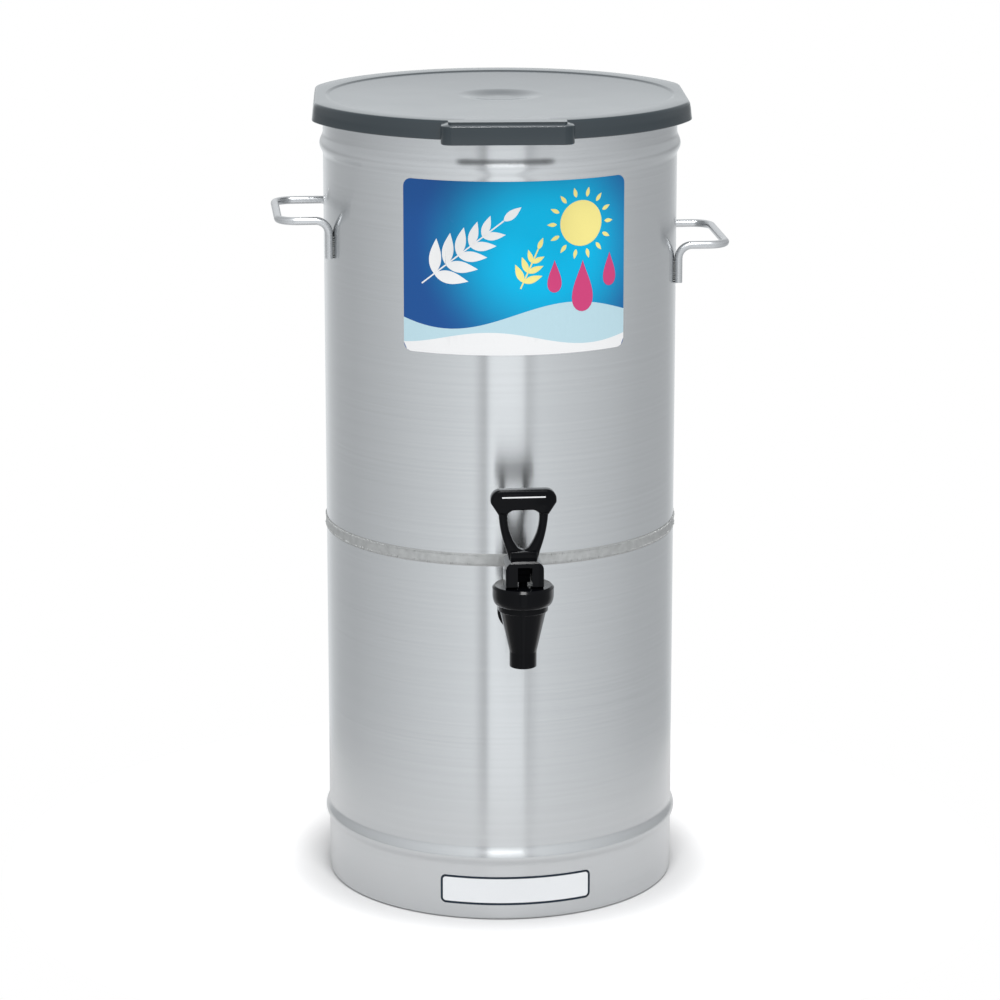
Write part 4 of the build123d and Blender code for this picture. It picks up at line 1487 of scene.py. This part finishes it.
def heel_arm():
    """Height of the pin above the lever's resting heel."""
    return pin_z() - high("bonnet").z - settings("tap").heel_gap


def heel_point(tilt):
    """Point of the lever's heel that bears on the bonnet at a tilt."""
    lift = settings("tap").heel
    reach = heel_arm() + lift * tilt
    return (-reach * math.sin(tilt) - lift * math.cos(tilt),
            -reach * math.cos(tilt) + lift * math.sin(tilt))


def lever_fork():
    """Forked foot of the lever with its rolling heel."""
    tap = settings("tap")
    arm, roof, slant = heel_arm(), tap.fork_roof, tap.fork_slant
    back = high("lever").y - valve_y()
    heel = [heel_point(tap.tilt * step / 10) for step in range(11)]
    front = heel[-1][0]
    half = high("lever_pin").x + tap.pin_cover
    bm = bmesh.new()
    profile = [(back, -arm), *heel, (front, roof - slant), (front + slant, roof), (back, roof)]
    left = [bm.verts.new((-half, y, z)) for y, z in profile]
    right = [bm.verts.new((half, y, z)) for y, z in profile]
    bm.faces.new(left)
    bm.faces.new(right[::-1])
    for index in range(len(profile)):
        after = (index + 1) % len(profile)
        bm.faces.new([left[index], left[after], right[after], right[index]])
    bmesh.ops.recalc_face_normals(bm, faces=bm.faces)
    standing = []
    for edge in bm.edges:
        first, last = (v.co for v in edge.verts)
        if abs(first.x - last.x) < TINY and abs(first.y - last.y) < TINY:
            standing.append(edge)
    bmesh.ops.bevel(bm, geom=standing, offset=tap.fork_edge, segments=8, profile=0.5,
                    affect="EDGES")
    column = mesh_from("lever_fork", bm)
    shoulder, below = tap.fork_shoulder, -arm - 4 * MM
    arch = rounded([(half, below, 0), (half, roof, shoulder), (-half, roof, shoulder),
                    (-half, below, 0)], 8)
    return carve(column, [slab("lever_arch", arch, 60 * MM, 0.05 * MM)], "INTERSECT")


class DISPENSER_OT_lever(bpy.types.Operator):
    """Build the forked loop lever and its bare tag"""

    bl_idname = "dispenser.lever"
    bl_label = "Lever"

    def execute(self, context):
        tap = settings("tap")
        loop, bar_low = lever_loop()
        post = rounded_box("lever_block", (tap.block_width, tap.block_depth, tap.block_height),
                           (0, 0, tap.block_rise), 0.9 * MM)
        mesh = carve(lever_fork(), [post, loop, lever_bar(bar_low)], "UNION")
        past = 30 * MM  # half length of a cutter that passes through
        slot = rounded_box("fork_slot", (tap.slot, 2 * past, past), (0, 0, -9.0 * MM), 0.3 * MM, 2)
        eye = turned_mesh("pin_eye", [(0.0, -past), (tap.pin_eye, -past), (tap.pin_eye, past),
                                      (0.0, past)], 48)
        eye.transform(Matrix.Rotation(QUARTER, 4, "Y"))
        mesh = moved(carve(mesh, [slot, eye], "DIFFERENCE"),
                     Matrix.Translation((0, valve_y(), pin_z())))
        dress("lever_loop", mesh, "black_plastic", "lever", "tap_plastic", "lever")
        self.tag()
        return {"FINISHED"}

    def tag(self):
        """Inlaid tag of the bar, black with one plain pale line."""
        box_low, box_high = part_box("lever_tag")
        size, middle = box_high - box_low, (box_low + box_high) / 2
        edge, sunk = 0.1 * MM, 0.1 * MM
        plate = slab("lever_tag_plate", panel(size.x, size.z, 2.5 * MM), size.y + 2 * sunk, edge)
        plate.transform(Matrix.Translation((0, middle.y - sunk, middle.z)))
        dress("lever_tag_plate", plate, "black_plastic", "lever", "tag_print", "lever_tag")
        line = panel(size.x * 0.84, 0.95 * MM, 0.4 * MM)
        stripe = slab("lever_tag_line", line, 0.12 * MM, 0.02 * MM)
        stripe.transform(Matrix.Translation((0, box_low.y - 0.22 * MM,
                                             middle.z + size.z * 0.26)))
        dress("lever_tag_line", stripe, "white_print", "lever", "tag_print")


class DISPENSER_OT_inner_parts(bpy.types.Operator):
    """Give the parts inside the tap and the tank their finishes"""

    bl_idname = "dispenser.inner_parts"
    bl_label = "Inner parts"

    looks = {
        "soft_silicone": ("bonnet_seal", "seat_cup", "outer_gasket", "inner_gasket"),
        "inner_steel": ("return_spring", "inner_washer"),
        # The pin and the stem are dark as painted shade in the fork's slot.
        "dark_steel": ("lever_pin",),
        "dull_black": ("valve_stem",),
        "black_plastic": ("shank_nut",),
    }

    def execute(self, context):
        for look, nodes in self.looks.items():
            for node in nodes:
                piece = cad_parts[node]
                if not piece.material_slots:
                    piece.data.materials.append(finish(look))
                for slot in piece.material_slots:
                    slot.material = finish(look)
        return {"FINISHED"}


# Studio

# Brightness of the surroundings by turn from the front, and its share by rise above the
# horizon, both in degrees
TURNS = ((-180, 1.0), (-166, 0.95), (-152, 0.80), (-138, 0.72), (-117, 0.73), (-86, 0.86),
         (-60, 1.0), (-40, 1.1), (-22, 1.2), (-19, 0.92), (-14.4, 0.62), (-12.8, 1.36),
         (10.2, 1.36), (11.6, 0.80), (16.5, 0.98), (20, 1.13), (33, 1.06), (68, 0.89),
         (96, 0.75), (125, 0.69), (140, 0.67), (154, 0.79), (166, 0.95), (180, 1.0))
RISES = ((-90, 1.0), (-30, 1.0), (-12, 0.98), (-7, 0.9), (-5.5, 0.65), (-1.5, 0.65), (1, 0.95),
         (3, 1.0), (90, 1.0))
BRIGHTEST = 1.4


def stepped(tree, value, full, stops, scale):
    """Level read from a list of stops, for an angle between minus and plus half a full range."""
    share = maths(tree, "ADD", maths(tree, "DIVIDE", value, math.radians(full)), 0.5)
    ramp = add_node(tree, "ShaderNodeValToRGB", {0: share})
    elements = ramp.color_ramp.elements
    while len(elements) < len(stops):
        elements.new(1.0)
    for element, (place, level) in zip(elements, stops):
        element.position = place / full + 0.5
        element.color = rgba([level / scale] * 3)
    return maths(tree, "MULTIPLY", ramp.outputs["Color"], scale)


def surround_level(tree):
    """Brightness of the light tent in the direction that a ray leaves."""
    away = tree.nodes.new("ShaderNodeTexCoord").outputs["Object"]
    parts = add_node(tree, "ShaderNodeSeparateXYZ", {0: away})
    turn = maths(tree, "ARCTAN2", parts.outputs["X"],
                 maths(tree, "MULTIPLY", parts.outputs["Y"], -1.0))
    rise = maths(tree, "ARCSINE", parts.outputs["Z"])
    return maths(tree, "MULTIPLY", stepped(tree, turn, 360, TURNS, BRIGHTEST),
                 stepped(tree, rise, 180, RISES, 1.0))


def ray_kinds(tree):
    """Whether a ray comes from the camera, and whether it comes off gloss or through glass."""
    paths = tree.nodes.new("ShaderNodeLightPath").outputs
    gloss = maths(tree, "MAXIMUM", paths["Is Glossy Ray"], paths["Is Transmission Ray"])
    return paths["Is Camera Ray"], gloss


def backdrop_world(ambient):
    """White surroundings for the camera, a light tent for gloss, a softer level on matt."""
    world = bpy.data.worlds.new("studio")
    bpy.context.scene.world = world
    world.use_nodes = True
    tree = world.node_tree
    camera, gloss = ray_kinds(tree)
    tent = maths(tree, "MULTIPLY", surround_level(tree), gloss)
    matt = maths(tree, "MULTIPLY", maths(tree, "SUBTRACT", 1.0, gloss), ambient)
    seen = maths(tree, "MAXIMUM", maths(tree, "ADD", tent, matt), camera)
    node = tree.nodes["Background"]
    tree.links.new(seen, node.inputs["Strength"])
    tint = blend_colours(tree, gloss, (1.0, 1.0, 1.0, 1.0), (0.955, 0.98, 1.0, 1.0))
    tree.links.new(tint, node.inputs["Color"])


class DISPENSER_OT_stage(bpy.types.Operator):
    """Build the floor, the lamps and the camera"""

    bl_idname = "dispenser.stage"
    bl_label = "Studio"

    def execute(self, context):
        studio = settings("studio")
        backdrop_world(studio.ambient)
        self.floor(studio)
        self.lamp(studio, "key_lamp", studio.key, (0.9, 1.1), 50, 2.3)
        self.lamp(studio, "spot_lamp", studio.spot, (0.45, 0.2), 70.5, 2.2)
        self.camera(studio)
        context.scene.view_settings.view_transform = "Standard"
        return {"FINISHED"}

    def floor(self, studio):
        """Round pale floor that the camera sees as white away from the body, with painted shade
        round the body's foot where its added light fades out.
        """
        bm = bmesh.new()
        bmesh.ops.create_circle(bm, cap_ends=True, radius=studio.floor_radius, segments=96)
        mesh = bpy.data.meshes.new("floor")
        bm.to_mesh(mesh)
        bm.free()
        material, tree, shader = new_finish("pale_floor")
        marks = speckle_node(tree, 40.0, 3.0).outputs["Marks"]
        tinted(tree, shader, settings("colours").floor, 0.006, marks)
        shader.inputs["Emission Color"].default_value = (1.0, 1.0, 1.0, 1.0)
        place = tree.nodes.new("ShaderNodeTexCoord").outputs["Object"]
        away = add_node(tree, "ShaderNodeVectorMath", {0: place}, operation="LENGTH")
        # Painted shade: the light added for the camera and for mirrors fades to nothing near the
        # body, so the floor darkens round the foot beyond its real shadow.
        rim = add_node(tree, "ShaderNodeMapRange",
                       {"Value": away.outputs["Value"], "From Min": studio.painted_shade_start,
                        "From Max": studio.painted_shade_end, "To Max": studio.floor_lift},
                       interpolation_type="SMOOTHSTEP")
        camera, gloss = ray_kinds(tree)
        seen = maths(tree, "MAXIMUM", camera, maths(tree, "MULTIPLY", gloss, studio.floor_gloss))
        tree.links.new(maths(tree, "MULTIPLY", seen, rim.outputs["Result"]),
                       shader.inputs["Emission Strength"])
        shader.inputs["Roughness"].default_value = 0.7
        shader.inputs["Specular IOR Level"].default_value = 0.2
        mesh.materials.append(material)
        put("floor", mesh)

    def lamp(self, studio, name, power, size, rise_degrees, distance):
        """Area lamp at a rise above the floor, aimed at the body."""
        data = bpy.data.lights.new(name, "AREA")
        data.shape = "RECTANGLE"
        data.size, data.size_y = size
        data.energy = power
        piece = put(name, data)
        turn, rise = studio.lamp_turn, math.radians(rise_degrees)
        away = Vector((math.sin(turn) * math.cos(rise), -math.cos(turn) * math.cos(rise),
                       math.sin(rise)))
        piece.location = Vector((0, 0, studio.lamp_aim)) + away * distance
        piece.rotation_euler = away.to_track_quat("Z", "Y").to_euler()
        piece.visible_camera = False

    def camera(self, studio):
        """Camera at the photograph's place."""
        data = bpy.data.cameras.new("camera")
        data.lens = studio.lens
        data.sensor_width = 36.0
        data.shift_y = studio.shift
        data.clip_end = 100.0
        camera = put("camera", data)
        away = Vector((math.sin(studio.camera_turn), -math.cos(studio.camera_turn), 0))
        camera.location = away * studio.camera_reach + Vector((0, 0, studio.camera_height))
        tilt = studio.camera_tilt
        look = -away * math.cos(tilt) - Vector((0, 0, 1)) * math.sin(tilt)
        camera.rotation_euler = look.to_track_quat("-Z", "Y").to_euler()
        bpy.context.scene.camera = camera


class DISPENSER_PT_panel(bpy.types.Panel):
    """Sidebar list of the dispenser's sizes and pieces"""

    bl_idname = "DISPENSER_PT_panel"
    bl_label = "Drinks dispenser"
    bl_space_type = "VIEW_3D"
    bl_region_type = "UI"
    bl_category = "Dispenser"

    def draw(self, context):
        layout = self.layout
        for group, cls in GROUPS.items():
            box = layout.box()
            for name in cls.__annotations__:
                box.prop(getattr(context.scene, group), name)
        for operator in OPERATORS:
            layout.operator(operator.bl_idname)


GROUPS = {
    "dispenser_body": DispenserBodySizes,
    "dispenser_handles": DispenserHandleSizes,
    "dispenser_lid": DispenserLidSizes,
    "dispenser_prints": DispenserPrintSizes,
    "dispenser_tap": DispenserTapSizes,
    "dispenser_colours": DispenserColours,
    "dispenser_studio": DispenserStudio,
}
OPERATORS = (DISPENSER_OT_shells, DISPENSER_OT_seam, DISPENSER_OT_handles, DISPENSER_OT_lid,
             DISPENSER_OT_label, DISPENSER_OT_plate, DISPENSER_OT_tap_body, DISPENSER_OT_bonnet,
             DISPENSER_OT_lever, DISPENSER_OT_inner_parts, DISPENSER_OT_stage)


def register():
    """Register the classes and hang the sizes on the scene."""
    for cls in (*GROUPS.values(), *OPERATORS, DISPENSER_PT_panel):
        bpy.utils.register_class(cls)
    for name, cls in GROUPS.items():
        setattr(bpy.types.Scene, name, PointerProperty(type=cls))


def unregister():
    """Take the sizes and the classes away again."""
    for name in GROUPS:
        delattr(bpy.types.Scene, name)
    for cls in (DISPENSER_PT_panel, *reversed(OPERATORS), *reversed(GROUPS.values())):
        bpy.utils.unregister_class(cls)


def main():
    """Build everything in order."""
    register()
    for operator in OPERATORS:
        name = operator.bl_idname.split(".")[1]
        getattr(bpy.ops.dispenser, name)()


if __name__ == "__main__":
    main()
